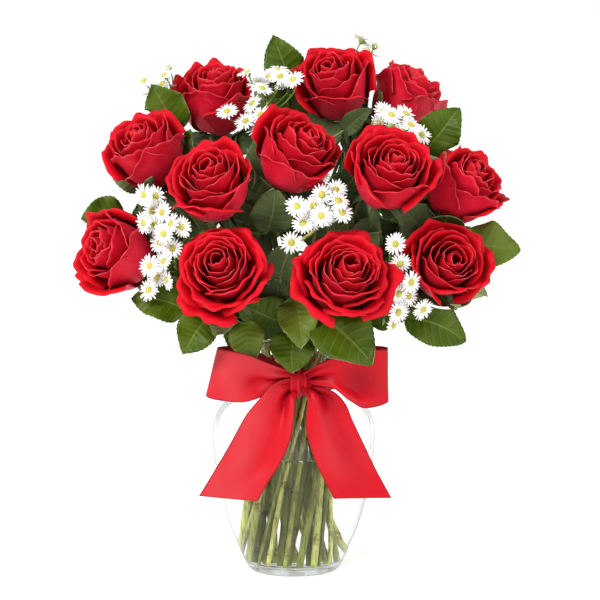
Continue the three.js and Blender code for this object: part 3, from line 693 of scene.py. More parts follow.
# Each rose: the middle of its bloom, which way it faces, its radius, how far it has
# opened, and the ring and slot of its stem.
ROSES = [
    ((-60, 22, 357), (-0.04, -0.34, 0.94), 31, 0.5, INNER_RING, 3),
    ((32, 14, 368), (-0.22, -0.56, 0.79), 31, 0.5, INNER_RING, 0),
    ((86, 42, 356), (0.56, -0.10, 0.82), 28, 0.4, INNER_RING, 9),
    ((-110, -22, 320), (-0.47, -0.44, 0.76), 31, 0.3, OUTER_RING, 8),
    ((-60, -66, 302), (-0.24, -0.64, 0.73), 34, 0.6, INNER_RING, 5),
    ((2, -48, 323), (0.45, -0.52, 0.73), 34, 0.5, INNER_RING, 6),
    ((71, -62, 309), (0.20, -0.67, 0.71), 35, 0.55, INNER_RING, 8),
    ((127, -22, 294), (0.65, -0.42, 0.63), 30, 0.4, OUTER_RING, 19),
    ((-132, -42, 247), (-0.77, -0.55, 0.32), 32, 0.3, OUTER_RING, 10),
    ((-51, -88, 238), (-0.22, -0.86, 0.47), 37, 0.95, OUTER_RING, 12),
    ((35, -90, 236), (0.21, -0.75, 0.63), 39, 1, OUTER_RING, 14),
    ((112, -48, 240), (0.26, -0.86, 0.43), 32, 0.5, OUTER_RING, 18)]
PETAL_COLUMNS, PETAL_ROWS = 24, 18
# The curve of a petal, from its root to its lip: for an inner, a middle and an outer
# petal, radii by that of the bloom, and heights over its base.
ROOT = (3, (14, 7.7, 1.4))      # this radius is in millimetres, and the same for all
BELLY = ((0.24, 0.60, 0.98), (16, 5, -2))
SHOULDER = ((0.22, 0.52, 0.94), (40, 36, 26))
LIP = ((0.08, 0.50, 1), (52, 50, 50))
PETAL = 0.35                    # thickness
SNUG = 0.97                     # radius of the petals, by that of the bloom
FLARE_DROP = 17                 # how far the lip of an open outer petal sinks
FEWEST_PETALS, PETALS_OPENED = 15, 10   # in a closed bloom, and more in an open one
AGEING = 0.84                   # under 1, more of the petals are outer ones
HEART_ASIDE = 3.5               # from the axis of the bloom to that of its bud
BLOOMS_TURN = 100 * DEG         # from one bloom to the next


class Rose:
    """A bloom's place in the bouquet, its size and how far it has opened."""

    def __init__(self, centre, faces, radius, opened, ring, slot):
        self.centre, self.axis = np.array(centre, float), unit(np.array(faces, float))
        self.radius, self.open, self.ring, self.slot = radius, opened, ring, slot
        self.base = self.centre - BLOOM_CENTRE * self.axis
        side = unit(np.cross((0, 0, 1), self.axis))
        self.turn = np.stack([side, np.cross(self.axis, side), self.axis])

    def seat(self, points):
        """From the bloom's own frame, with its axis along Z, into the bouquet."""
        return points @ self.turn + self.base


roses = [Rose(*row) for row in ROSES]
PRESS, BETWEEN = 7, 1           # blooms flatten over this depth, and end this far from the plane


def pressed(points, rose):
    """Where two blooms press together they flatten against the plane between them."""
    for other in roses:
        apart = other.centre - rose.centre
        distance = np.linalg.norm(apart)
        if other is rose or distance > rose.radius + other.radius + PRESS:
            continue
        apart = apart / distance
        border = distance * rose.radius / (rose.radius + other.radius) - BETWEEN
        reach = (points - rose.centre) @ apart - border + PRESS
        give = np.where(reach > 0, PRESS * (1 - np.exp(-np.maximum(reach, 0) / PRESS)) - reach, 0)
        points = points + give[..., None] * apart
    return points


def by_age(age, values):
    """From the inner petals' value by that of the middle ones to that of the outer ones."""
    inner, middle, outer = values
    pull = 2 * middle - (inner + outer) / 2
    return inner * (1 - age) ** 2 + 2 * pull * age * (1 - age) + outer * age ** 2


def petal_curve(rose, age, chance):
    """The ends and handles of a petal's curve, each a radius and a height."""
    size = rose.radius * SNUG
    wide = size * (0.92 + 0.16 * rose.open)
    flare = rose.open * age * age
    tall = chance.uniform(-2.2, 2.2) - FLARE_DROP * flare
    belly, shoulder = by_age(age, BELLY[0]) - 0.2 * flare, by_age(age, SHOULDER[0]) - 0.28 * flare
    return [np.array(corner) for corner in (
        (ROOT[0], by_age(age, ROOT[1])),
        (belly * size, by_age(age, BELLY[1])),
        (shoulder * size, by_age(age, SHOULDER[1])),
        (by_age(age, LIP[0]) * wide * chance.uniform(0.95, 1.05), by_age(age, LIP[1]) + tall))]


def petal(shape, rose, age, turn, heart, chance):
    """A petal: cupped round the bud, with its lip rolled out and its corners turned down."""
    across, up = spread(PETAL_COLUMNS, PETAL_ROWS)
    side = np.abs(across)
    outer = float(smooth((age - 0.5) / 0.4))
    p0, p1, p2, p3 = petal_curve(rose, age, chance)
    phases = [chance.uniform(0, 2 * math.pi) for _ in range(4)]
    notch = 0.022 * np.sin(across * 7 + phases[0]) + 0.016 * np.sin(across * 15 + phases[1])
    top = 1 - (0.14 + 0.10 * age) * side ** 2.3 + notch * (0.4 + age)
    t = up * top
    s = t[..., None]
    line = cubic(p0, p1, p2, p3, s)
    way = 3 * (p1 - p0) * (1 - s) ** 2 + 6 * (p2 - p1) * s * (1 - s) + 3 * (p3 - p2) * s * s
    # The lip rolls outwards, most at its corners: the line's way turns as it nears the edge.
    begins = top * (0.95 - 0.05 * age - outer * 0.16 * side)
    most = (24 + 32 * age + outer * 46 * side) * (0.5 + 0.6 * rose.open) * DEG
    most = most * chance.uniform(0.7, 1.3)
    roll = most * smooth((t - begins) / (top - begins)) ** 1.2
    theta = np.arctan2(way[..., 1], way[..., 0]) - roll
    step = np.linalg.norm(way, axis=-1) * top / PETAL_ROWS
    run = [np.zeros_like(theta[:1]), np.zeros_like(theta[:1])]
    for i, moved in enumerate((np.cos(theta) * step, np.sin(theta) * step)):
        run[i] = np.concatenate([run[i], np.cumsum((moved[1:] + moved[:-1]) / 2, 0)])
    r, z = line[:1, :, 0] + run[0], line[:1, :, 1] + run[1]
    # Its sides lean back, and its edge is ruffled.
    loose = 0.25 + 0.8 * rose.open
    ruffle = np.sin(across * 3.7 + phases[2]) + 0.6 * loose * np.sin(across * 8.3 + phases[3])
    z = z + ruffle * t ** 5 * (0.6 + 1.9 * age * loose)
    r = r + np.cos(across * 5.1 + phases[1]) * t ** 3 * (0.4 + 1.1 * age * loose)
    r = r + np.sin(across * 13 + phases[0]) * t ** 7 * (0.25 + 0.7 * age) * loose
    r = r * (1 + (0.14 - 0.08 * age) * across * t) + 2.5 * outer * side ** 3 * t ** 2
    # It wraps the bloom, inner petals most, and closes in towards its root.
    half = (84 - 22 * age - 12 * age * rose.open + 200 * max(0, 0.25 - age)) * DEG
    angle = turn + across * half * (0.28 + 0.72 * np.minimum(1, t * 1.6))
    shift = (1 - age) * smooth(up * 1.5)
    points = np.stack([r * np.cos(angle) + heart[0] * shift,
                       r * np.sin(angle) + heart[1] * shift, z], -1)
    marks = np.stack([across, up, np.full_like(up, age)], -1)
    grid(shape, PETAL_COLUMNS, PETAL_ROWS, pressed(rose.seat(points), rose), marks,
         thickness=PETAL, looks=(1, 0, 2))


def bloom(number, rose, looks):
    """Petals from the bud outwards, each turned on from the one before."""
    chance = random.Random(BLOOM_SEED + number)
    shape = start()
    lean = chance.uniform(0, 2 * math.pi)
    heart = (HEART_ASIDE * math.cos(lean), HEART_ASIDE * math.sin(lean))
    petals = FEWEST_PETALS + round(PETALS_OPENED * rose.open)
    for i in range(petals):
        age = (i / (petals - 1)) ** AGEING
        petal(shape, rose, age, number * BLOOMS_TURN + i * GOLDEN, heart, chance)
    name = f"rose_bloom_{number + 1:02d}"
    return piece(f"bloom_{number + 1:02d}", shape, looks, name)


# -------------------------------------------------------------------------- leaves

LEAF = 0.5                      # thickness of a blade
ARCH, FOLD, WAVE = 0.4, 0.25, 0.06      # by its length, its half width and its width
BLADE, BLADE_FOOT, BLADE_TIP = 2.557, 0.55, 0.85    # its outline, which is 1 where it's widest
LEAF_COLUMNS, TOOTH_ROWS = 10, 4
TEETH_APART, TOOTH = 3, 0.8
FEWEST_VEINS, MORE_VEINS, FURROW = 7, 2, 0.45
RIM_WAVE, SWAY = 0.8, 0.06      # the rim's in millimetres, the sway by the length
RIB_UNDER, RIB, STALK = 0.45, (0.65, 0.15), (1.2, 0.75)     # radii from one end to the other
RIB_SIDES, STALK_SIDES, STALK_POINTS = 5, 6, 9
FRONT, BACK = (0, -1, 0.3), (0, 1, 0.3)
# Leaves by the number of their rose: foot, tip, width, and the way the blade faces.
ROSE_LEAVES = {
    1: [((-62, 52, 318), (-92, 78, 300), 26, BACK), ((-50, 26, 316), (-22, 22, 342), 27, FRONT),
        ((-30, 14, 230), (-24, 22, 268), 28, FRONT)],
    2: [((40, 48, 330), (30, 78, 352), 26, BACK), ((24, 22, 314), (20, 32, 352), 29, FRONT),
        ((16, 14, 266), (8, 22, 306), 30, FRONT)],
    3: [((80, 44, 312), (112, 66, 296), 28, BACK)],
    4: [((-110, 6, 292), (-138, 2, 304), 22, FRONT), ((-87, -30, 238), (-92, -38, 285), 34, FRONT)],
    5: [((-19, -46, 263), (-13, -62, 298), 32, FRONT)],
    6: [((27, -30, 247), (18, -38, 296), 40, FRONT), ((37, 0, 333), (58, -20, 351), 16, FRONT),
        ((-2, 18, 250), (0, 28, 290), 28, FRONT)],
    7: [((101, -20, 257), (78, -34, 281), 34, FRONT)],
    8: [((84, -36, 211), (79, -46, 258), 36, FRONT)],
    9: [((-98, -18, 236), (-116, -24, 280), 38, FRONT)],
    10: [((-52, -62, 204), (-56, -78, 190), 22, FRONT)],
    11: [((-10, -50, 228), (0, -60, 257), 28, FRONT)]}
# Each branch: ring and slot, where its stem ends, and its leaves.
SALAL = [
    (INNER_RING, 2, (-4, 34, 352), [((-3, 40, 356), (-16, 31, 402), 34, FRONT),
     ((-14, 44, 330), (-28, 72, 360), 36, BACK), ((6, 46, 332), (24, 74, 350), 34, BACK)]),
    (OUTER_RING, 7, (-86, 12, 318), [((-88, 8, 330), (-106, -2, 367), 36, FRONT),
     ((-96, 22, 312), (-138, 40, 322), 34, BACK)]),
    (OUTER_RING, 1, (92, 12, 306), [((98, 4, 317), (123, -2, 350), 34, FRONT),
     ((104, 24, 296), (142, 36, 300), 34, BACK)]),
    (OUTER_RING, 17, (114, -8, 246), [((124, -20, 252), (168, -15, 244), 36, (0.2, -1, 0.5)),
     ((104, 2, 222), (146, 18, 206), 36, BACK)]),
    (OUTER_RING, 16, (78, -44, 206), [((82, -54, 200), (126, -48, 181), 36, (0.2, -1, 0.4))]),
    (OUTER_RING, 9, (-112, 0, 262), [((-126, -6, 272), (-158, -12, 268), 26, FRONT),
     ((-108, 16, 246), (-142, 34, 232), 34, BACK)]),
    (OUTER_RING, 13, (2, -52, 210), [((18, -70, 204), (57, -88, 171), 46, (0.1, -1, 0.5)),
     ((0, -62, 214), (6, -84, 182), 30, (-0.1, -1, 0.5)),
     ((2, -54, 190), (-1, -66, 161), 34, FRONT)]),
    (OUTER_RING, 11, (-60, -44, 200), [((-78, -54, 206), (-119, -52, 214), 32, (-0.1, -1, 0.5)),
     ((-64, -60, 200), (-80, -72, 176), 30, FRONT), ((-36, -54, 198), (-30, -60, 168), 26, FRONT)]),
    (OUTER_RING, 5, (-20, 62, 238), [((-34, 62, 236), (-72, 78, 240), 36, BACK),
     ((-20, 66, 244), (-26, 88, 280), 38, BACK), ((-14, 60, 222), (-8, 84, 196), 34, BACK)]),
    (OUTER_RING, 3, (52, 52, 248), [((62, 50, 246), (98, 62, 236), 36, BACK),
     ((50, 58, 256), (52, 84, 290), 38, BACK), ((40, 54, 232), (34, 80, 206), 34, BACK)])]


HEART = np.array([0, 40, 250.0])        # the middle of the bouquet
LEAF_CLEAR = 2.5                # between a leaf and a bloom


def bent_clear(points, gap=LEAF_CLEAR):
    """Leaves and asters are bent clear of the blooms."""
    for rose in roses:
        away = points - rose.centre
        along = away @ rose.axis
        aside = np.sqrt(np.maximum(0, (away ** 2).sum(-1) - along ** 2))
        depth = np.hypot(aside / (rose.radius + gap), along / (BLOOM_CENTRE + gap))
        inside = ((depth < 1) & (depth > 0))[..., None]
        points = np.where(inside, rose.centre + away / np.maximum(depth, 0.01)[..., None], points)
    return points


def leaf(shape, path, base, tip, width, faces, chance, looks):
    """A toothed blade, folded along its rib, on a stalk from the nearest of the stem."""
    foot, end = np.array(base, float), np.array(tip, float)
    length = np.linalg.norm(end - foot)
    rib = (end - foot) / length
    side = unit(np.cross(rib, faces))
    normal = np.cross(side, rib)
    teeth = round(length / TEETH_APART)
    across, up = spread(LEAF_COLUMNS, TOOTH_ROWS * teeth)
    out = np.abs(across)
    half = width / 2 * BLADE * up ** BLADE_FOOT * (1 - up) ** BLADE_TIP
    half = np.maximum(half, 0.3 + 0.4 * (1 - up))
    saw = (up * teeth + 0.5) % 1
    reach = half + (saw - 0.4) * TOOTH * out ** 8 * np.minimum(1, half / 4)
    veins = FEWEST_VEINS + chance.random() * MORE_VEINS
    stage = np.interp(up, (0, 0.2, 0.46, 0.76, 1), range(5))
    rise = length * ARCH * up * (1 - up) + out * half * FOLD
    rise = rise - across * np.cos(np.pi * stage) * WAVE * width
    furrow = np.cos(2 * np.pi * veins * (up - VEIN_LEAN * out))
    rise = rise - FURROW * furrow * out * (1 - out ** 4)
    rise = rise + RIM_WAVE * np.sin(stage * 3.1 + chance.uniform(0, 6)) * out ** 2
    sway = chance.uniform(-SWAY, SWAY) * length * np.sin(np.pi * up)
    middle = foot + up[..., None] * length * rib + (across * reach + sway)[..., None] * side
    points = bent_clear(middle + rise[..., None] * normal)
    tone = np.full_like(up, chance.random())
    marks = np.stack([across, up, tone], -1)
    grid(shape, LEAF_COLUMNS, TOOTH_ROWS * teeth, points, marks, thickness=LEAF,
         looks=(looks[0], looks[1], looks[1]))
    # The rib stands out underneath, and the stalk comes from the stem to meet it.
    spine = points[:, LEAF_COLUMNS // 2]
    under = spine[:-2] - normal * RIB_UNDER
    rod(shape, under, np.linspace(*RIB, len(under)), RIB_SIDES, looks[2])
    root = nearest_on(path, foot)
    way = unit(spine[3] - spine[0])
    span = np.linalg.norm(foot - root)
    stalk = bow_of(root, root + (foot - root) * 0.4 + (0, 0, 0.1 * span), foot - way * span * 0.3,
                   spine[1] - normal * 0.3, STALK_POINTS)
    rod(shape, stalk, np.linspace(*STALK, STALK_POINTS), STALK_SIDES, looks[2])


# ---------------------------------------------------------------------- leafy stems

# Fillers are leaves inside the bouquet, placed by chance.
ROSE_FILLERS, SALAL_FILLERS, FILLER_TRIES = 7, 3, 60
FAN, FILLER_STRAYS = (0, 30, 190), 0.8  # they point away from here, and stray from that way
FILLER_ALONG = (0.66, 0.93)     # where on the stem, by its length
FILLER_STALK, FILLER_SPAN, FILLER_WIDE = 6, (34, 48), 0.72      # the width is by the length
BEHIND_BLOOM = 6                # seen from the front, a tip is within a bloom, or this near to it
LOWEST_TIP, FRONT_TIP, BACK_TIP = 196, -60, 84
LEAF_LOOKS = (1, 2, 3)          # upper face, under face and stalk, among a stem's looks
SEPALS, SEPAL = 5, 0.4          # how many, and their thickness
SEPAL_HALF, SEPAL_SPAN = 3.4, (22, 30)
SEPAL_FOOT = (4.4, -2.0)        # radius and height where they begin
SEPAL_COLUMNS, SEPAL_ROWS = 4, 10
# The hip under a bloom: heights along the bloom's axis from its base, and radii.
HIP = ((-10, -8.5, -6.5, -4, -2, -0.8, -0.4), (2.4, 3.4, 4.9, 5.6, 5.2, 4.4, 3.0))


def fillers(shape, path, chance, count):
    """Leaves inside the bouquet, where blooms in front of them leave a gap."""
    made = 0
    for _ in range(FILLER_TRIES):
        spot = path[int(len(path) * chance.uniform(*FILLER_ALONG))]
        way = unit(spot - FAN) + [chance.uniform(-FILLER_STRAYS, FILLER_STRAYS) for _ in range(3)]
        length = chance.uniform(*FILLER_SPAN)
        base = spot + unit(way) * FILLER_STALK
        tip = base + unit(way) * length
        near = min(math.hypot(tip[0] - rose.centre[0], tip[2] - rose.centre[2]) - rose.radius
                   for rose in roses)
        if near < BEHIND_BLOOM and tip[2] > LOWEST_TIP and FRONT_TIP < tip[1] < BACK_TIP:
            faces = unit(spot - HEART) + (0, -0.8, 0.5)
            leaf(shape, path, base, tip, length * FILLER_WIDE, faces, chance, LEAF_LOOKS)
            made += 1
        if made == count:
            return


def sepal(shape, rose, angle, chance):
    """A narrow green blade that bends down from under the bloom."""
    across, up = spread(SEPAL_COLUMNS, SEPAL_ROWS)
    reflex = chance.uniform(0.7, 1.5)
    heading = 0.1 - reflex * up * 1.2
    step = chance.uniform(*SEPAL_SPAN) / SEPAL_ROWS
    r = SEPAL_FOOT[0] + np.cumsum(np.cos(heading) * step, 0) - step
    z = SEPAL_FOOT[1] + np.cumsum(np.sin(heading) * step, 0)
    half = SEPAL_HALF * (1 - up) ** 0.8 * (0.7 + 0.6 * np.sin(np.pi * up)) + 0.2
    z = z + 0.2 * np.abs(across) * half
    x, y = r * math.cos(angle), r * math.sin(angle)
    x, y = x - across * half * math.sin(angle), y + across * half * math.cos(angle)
    marks = np.stack([across, up, np.full_like(up, 0.3)], -1)
    grid(shape, SEPAL_COLUMNS, SEPAL_ROWS, rose.seat(np.stack([x, y, z], -1)), marks,
         thickness=SEPAL, looks=(2, 1, 2))


def rose_stem(number, rose, looks):
    """A stem with its leaves, its hip and the five sepals under its bloom."""
    chance = random.Random(ROSE_SEED + number)
    shape = start()
    path = stem_path(rose.ring, rose.slot, rose.base - 3 * rose.axis, rose.axis)
    stem(shape, path, ROSE_STEM, ROSE_SEED + number)
    for base, tip, width, faces in ROSE_LEAVES.get(number + 1, []):
        leaf(shape, path, base, tip, width, faces, chance, LEAF_LOOKS)
    fillers(shape, path, chance, ROSE_FILLERS)
    spindle(shape, rose.base, rose.axis, HIP, 12, 3)
    turn = chance.uniform(0, 6)
    for i in range(SEPALS):
        sepal(shape, rose, turn + i * 360 / SEPALS * DEG, chance)
    name = f"rose_stem_{number + 1:02d}"
    return piece(f"stem_{number + 1:02d}", shape, looks, name)


def outward(end):
    """The way a stem heads where it ends: up and out of the vase."""
    return unit(end - (0, 0, KNEE_HEIGHT))


def salal_branch(number, looks):
    """A stem with its broad leaves."""
    ring, slot, end, leaves = SALAL[number]
    chance = random.Random(SALAL_SEED + number)
    shape = start()
    end = np.array(end, float)
    path = stem_path(ring, slot, end, outward(end))
    stem(shape, path, SALAL_STEM, SALAL_SEED + number)
    for base, tip, width, faces in leaves:
        leaf(shape, path, base, tip, width, faces, chance, LEAF_LOOKS)
    fillers(shape, path, chance, SALAL_FILLERS)
    name = f"salal_branch_{number + 1:02d}"
    return piece(f"branch_{number + 1:02d}", shape, looks, name)


# --------------------------------------------------------------------------- asters

HEAD, DISC = 8, 1.9             # radii of a head and of where its rays begin
RAYS, RAY, RAY_HALF = (19, 23), 0.15, 0.82      # how many, thickness and half width
# The domed disc and the cup under it: heights along the head's axis, and radii.
DOME = ((0, 0.7, 1.3, 1.7, 1.9), (2.3, 2.5, 2.1, 1.3, 0.5))
CUP = ((-3.4, -2.6, -1.4, 0, 0.5), (0.6, 1.5, 2.2, 2.5, 2.0))
NECK = 3                        # from the middle of a head down to its stalk
THREAD, THREAD_POINTS = (0.75, 0.5), 7  # radii of that stalk, from one end to the other
LEAFLET, LEAFLET_SPAN, LEAFLET_HALF = 0.25, (7, 12), 1.1        # thickness, length, half width
LEAFLET_CLEAR = 0.5
HEADS_APART = 14.4              # between the heads that the CAD has
CROWDED = 10.5                  # between those and the ones that are added
TRIES = 40                      # places tried for an added head, in each cluster
HEAD_GAP = 0.6                  # between a head and a bloom
LAYER = 6                       # heads stand in three layers, this far apart
TWIG_END, TWIG_TIP = 16, 1.1    # how far under its heads a twig forks, and its radius there
CAD_SEED, CAD_STEP, CAD_ROUND = 11, 16807, 2147483647   # the CAD's own draws
# Each spray: ring and slot, where its stem forks, and its clusters, each with its middle,
# its reach across and upwards, and how many heads the CAD has in it.
ASTERS = [
    (OUTER_RING, 6, (-98, 36, 334), [((-100, 19, 370), (9, 11), 3)]),
    (CENTRE, 0, (-24, 10, 330), [((-21, 0, 373), (22, 13), 5), ((-34, -12, 347), (18, 12), 3)]),
    (INNER_RING, 1, (50, 56, 348), [((55, 40, 390), (22, 10), 4)]),
    (OUTER_RING, 0, (66, -2, 318), [((80, -24, 342), (24, 19), 6)]),
    (INNER_RING, 4, (-84, -40, 242), [((-99, -66, 256), (19, 44), 10)]),
    (INNER_RING, 7, (16, -48, 264), [((22, -76, 286), (24, 20), 7), ((2, -76, 256), (2, 2), 1)]),
    (OUTER_RING, 15, (72, -48, 216), [((77, -72, 230), (9, 38), 5), ((99, -68, 206), (2, 2), 1)]),
    (OUTER_RING, 4, (4, 60, 290), [((8, 86, 306), (24, 18), 4)])]


def aster_rays(shape, centre, axis, chance):
    """Two rounds of narrow rays, some of them drooping."""
    side = unit(np.cross(axis, (0, 0, 1)))
    top = np.cross(side, axis)
    count = chance.randint(*RAYS)
    turn = chance.uniform(0, 6)
    for i in range(count):
        angle = turn + (i + chance.uniform(-0.25, 0.25)) / count * 2 * math.pi
        out = math.cos(angle) * side + math.sin(angle) * top
        edge = np.cross(axis, out)
        across, up = spread(2, 4)
        reach = (HEAD - DISC) * chance.uniform(0.98, 1.2)
        half = RAY_HALF * (0.55 + 0.45 * np.sin(np.pi * up ** 0.8)) * np.where(up > 0.9, 0.55, 1)
        rise = 0.35 + (i % 2) * 0.35 + chance.uniform(-0.5, 1.1) * up
        rise = rise - 0.9 * up ** 2 * chance.random() - 0.18 * np.abs(across)
        points = (centre + (DISC + reach * up)[..., None] * out + (across * half)[..., None] * edge
                  + rise[..., None] * axis)
        grid(shape, 2, 4, points, np.stack([across, up, up * 0], -1), thickness=RAY)


def aster_head(shape, centre, axis, root, chance):
    """A head on its stalk, which carries two small leaves."""
    aster_rays(shape, centre, axis, chance)
    spindle(shape, centre, axis, DOME, 9, 1)
    spindle(shape, centre, axis, CUP, 8, 2)
    neck = centre - NECK * axis
    span = np.linalg.norm(neck - root)
    stalk = bow_of(root, root + (neck - root) * 0.4, neck - axis * span * 0.35, neck, THREAD_POINTS)
    rod(shape, stalk, np.linspace(*THREAD, THREAD_POINTS), 5, 2)
    for spot in (2, 4):
        way = unit(stalk[spot + 1] - stalk[spot])
        out = unit(np.cross(way, [chance.uniform(-1, 1) for _ in range(3)]))
        across, up = spread(2, 4)
        long = chance.uniform(*LEAFLET_SPAN)
        half = LEAFLET_HALF * np.sin(np.pi * (0.12 + 0.88 * up))
        points = (stalk[spot] + (long * up)[..., None] * unit(out + way * 0.9)
                  + (across * half)[..., None] * np.cross(way, out)
                  - (up ** 2 * 2)[..., None] * way)
        grid(shape, 2, 4, bent_clear(points, LEAFLET_CLEAR), np.stack([across, up, up * 0], -1),
             thickness=LEAFLET, looks=(2, 2, 2))


def cad_draws(seed):
    """The draws by which the CAD places its heads, so that these stand in the same places."""
    state = seed
    while True:
        state = state * CAD_STEP % CAD_ROUND
        yield state / CAD_ROUND


def cluster(shape, at, size, heads, end, placed, draws, chance):
    """The heads that the CAD has, and others in the room between them."""
    centre = np.array(at, float)
    axis = unit(centre - HEART)
    side = unit(np.cross(axis, (0, 0, 1)))
    top = np.cross(side, axis)
    fork = centre - axis * TWIG_END
    fork = fork + (end - fork) * 0.15
    rod(shape, np.linspace(end, fork, 4), np.linspace(ASTER_STEM, TWIG_TIP, 4), 8, 3)

    def spot(reach, angle, lift):
        return (centre + size[0] * reach * math.cos(angle) * side
                + size[1] * reach * math.sin(angle) * top + lift * axis)

    for i in range(heads):
        point = spot(math.sqrt((i + 0.5) / heads), i * GOLDEN + next(draws), LAYER * (i % 3 - 1))
        for other in placed:
            apart = point - other
            if np.linalg.norm(apart) < HEADS_APART:
                point = other + unit(apart) * HEADS_APART
        point = bent_clear(point, HEAD + HEAD_GAP)
        placed.append(point)
        turned_to = [next(draws) - less for less in (0.5, 0.8, 0.3)]
        next(draws)
        aster_head(shape, point, unit(axis + 0.7 * np.array(turned_to)),
                   fork + (end - fork) * 0.85 * i / heads, chance)
    for _ in range(TRIES * (heads > 2)):
        angle, reach = chance.uniform(0, 2 * math.pi), math.sqrt(chance.random())
        point = bent_clear(spot(reach, angle, chance.uniform(-9, 2)), HEAD + HEAD_GAP)
        if min(np.linalg.norm(point - other) for other in placed) > CROWDED:
            placed.append(point)
            faces = unit(axis + [chance.uniform(-0.4, 0.4) for _ in range(3)])
            aster_head(shape, point, faces, fork + (end - fork) * 0.5 * reach, chance)


def aster_spray(number, looks):
    """A stem that forks into clusters of heads."""
    ring, slot, hub, clusters = ASTERS[number]
    chance, draws = random.Random(ASTER_SEED + number), cad_draws(CAD_SEED + number)
    shape = start()
    end = np.array(hub, float)
    path = stem_path(ring, slot, end, outward(end))
    stem(shape, path, ASTER_STEM, ASTER_SEED + number, look=3)
    placed = []
    for at, size, heads in clusters:
        cluster(shape, at, size, heads, end, placed, draws, chance)
    name = f"aster_spray_{number + 1:02d}"
    return piece(f"asters_{number + 1:02d}", shape, looks, name)


# --------------------------------------------------------------------------- ribbon

RIBBON, SATIN = 38, 0.4         # width and thickness
KNOT, KNOT_SIZE = (4, -48, 151), (8.2, 7.6, 10.4)       # half its width, depth and height
# Rows across the ribbon, each from one edge to the other. The loops go out along the
# front and come back behind, and the tails hang from the knot.
LEFT_LOOP = [
    ((1, -51, 158), (1, -51, 152)), ((-10.7, -58, 164.2), (-11.4, -57, 147.7)),
    ((-21.6, -63, 169.5), (-23.1, -60, 142.3)), ((-33.2, -65, 174.6), (-34.8, -62, 138.9)),
    ((-44.9, -64, 177), (-48, -61, 139.1)), ((-52.3, -60, 177.9), (-59.8, -58, 140.4)),
    ((-55.8, -55, 177.8), (-64.4, -53, 141.8)), ((-53.3, -50, 178.1), (-61.6, -49, 142.6)),
    ((-42.4, -47, 178), (-48.4, -46, 142.8)), ((-27.7, -46, 174.2), (-32.2, -46, 144.3)),
    ((-13.7, -47, 166.1), (-15.9, -47, 146.7)), ((1, -47, 156), (1, -47, 152))]
RIGHT_LOOP = [
    ((8, -51, 158), (8, -51, 151)), ((19.3, -58, 166.4), (20.1, -58, 150.1)),
    ((28.8, -63, 172.4), (31, -62, 148.5)), ((39.7, -65, 176.8), (41.3, -64, 140.7)),
    ((51.4, -64, 177.8), (50.1, -62, 134.8)), ((61.7, -61, 177.6), (61.2, -59, 135)),
    ((68.8, -55, 177.4), (69.4, -54, 137.5)), ((66.4, -49, 178), (66.6, -49, 139.6)),
    ((54.7, -47, 178), (54.8, -46, 142.1)), ((38.6, -46, 174.2), (38.6, -46, 145.1)),
    ((23.1, -47, 166.9), (23.9, -47, 148.2)), ((8, -47, 156), (8, -47, 152))]
LEFT_TAIL = [
    ((-2, -50, 152), (3, -52, 146)), ((-15.8, -59, 151), (0.7, -59, 138.4)),
    ((-26.1, -59, 139.5), (0.3, -62, 127)), ((-35.7, -57, 126.8), (-1.9, -64, 112.5)),
    ((-48.3, -54, 103.1), (-9.2, -65, 94.8)), ((-59.5, -52, 83.9), (-18.8, -64, 78.9)),
    ((-70, -50, 66.2), (-26.2, -62, 65))]
RIGHT_TAIL = [
    ((5, -50, 147), (10, -50, 150)), ((9.8, -59, 142.1), (27.4, -57, 146.9)),
    ((9.1, -62, 129.2), (37.7, -57, 137.3)), ((9.1, -64, 118.4), (43.3, -56, 124.4)),
    ((12.8, -65, 103.7), (51.8, -55, 106.3)), ((18.6, -64, 88.6), (60, -53, 88.6)),
    ((29.7, -62, 66.5), (72.4, -51, 64.9))]
# Pleats at the knot: waves across, height, how far they reach along the ribbon, phase.
PLEATS = ((4, 1.3, 12, 0.4), (2.5, 2.0, 20, 1.6), (1, 1.8, 36, 2.6))
KNOT_SHADE_REACH, KNOT_SHADE = 24, 0.4      # painted shade on the satin towards the knot: over how far, how much
HILL_SHEEN_AND_SHADE = 0.11               # painted sheen on the satin's hills and painted shade in its hollows, for each millimetre of height
BAND, BAND_HALF, BAND_UP, BAND_LONG = 41.4, 8, 150, 260     # radius, half width, height, length
STRIP_COLUMNS, STRIP_STEPS = 28, 12
KNOT_GRID, BAND_GRID = (36, 40), (36, 160)      # columns and rows
# The stretches: edges, rows, which side is the front, how much painted sheen it has, hills
# and hollows, and whether both ends are in the knot. A hill or a hollow is how far along,
# where across, height, reach along and reach across.
STRETCHES = (
    (LEFT_LOOP, 84, -1, 0.6, (
        (17, -0.3, 2.5, 9, 0.4), (31, 0.35, -4.5, 9, 0.5), (52, -0.1, 1.5, 10, 0.7)), True),
    (RIGHT_LOOP, 84, 1, 0.0, (
        (20, -0.4, 3, 10, 0.5), (44, 0.0, -4.5, 11, 0.5), (38, 0.86, 3.5, 13, 0.2),
        (40, 0.5, -2.5, 12, 0.25)), True),
    (LEFT_TAIL, 60, -1, 0.5, (
        (20, -0.75, 3, 16, 0.35), (20, 0.4, -4, 13, 0.24), (22, 0.9, 1.5, 20, 0.25),
        (62, 0.35, -2.6, 26, 0.45), (70, -0.4, 2.4, 34, 0.5), (98, 0.5, 2, 16, 0.5)), False),
    (RIGHT_TAIL, 60, -1, 0.05, (
        (16, 0.4, -3.5, 14, 0.4), (24, -0.45, 1.6, 16, 0.22), (56, -0.3, 2.6, 26, 0.4),
        (64, 0.4, -2.4, 34, 0.5), (96, -0.4, -1.5, 18, 0.5)), False))


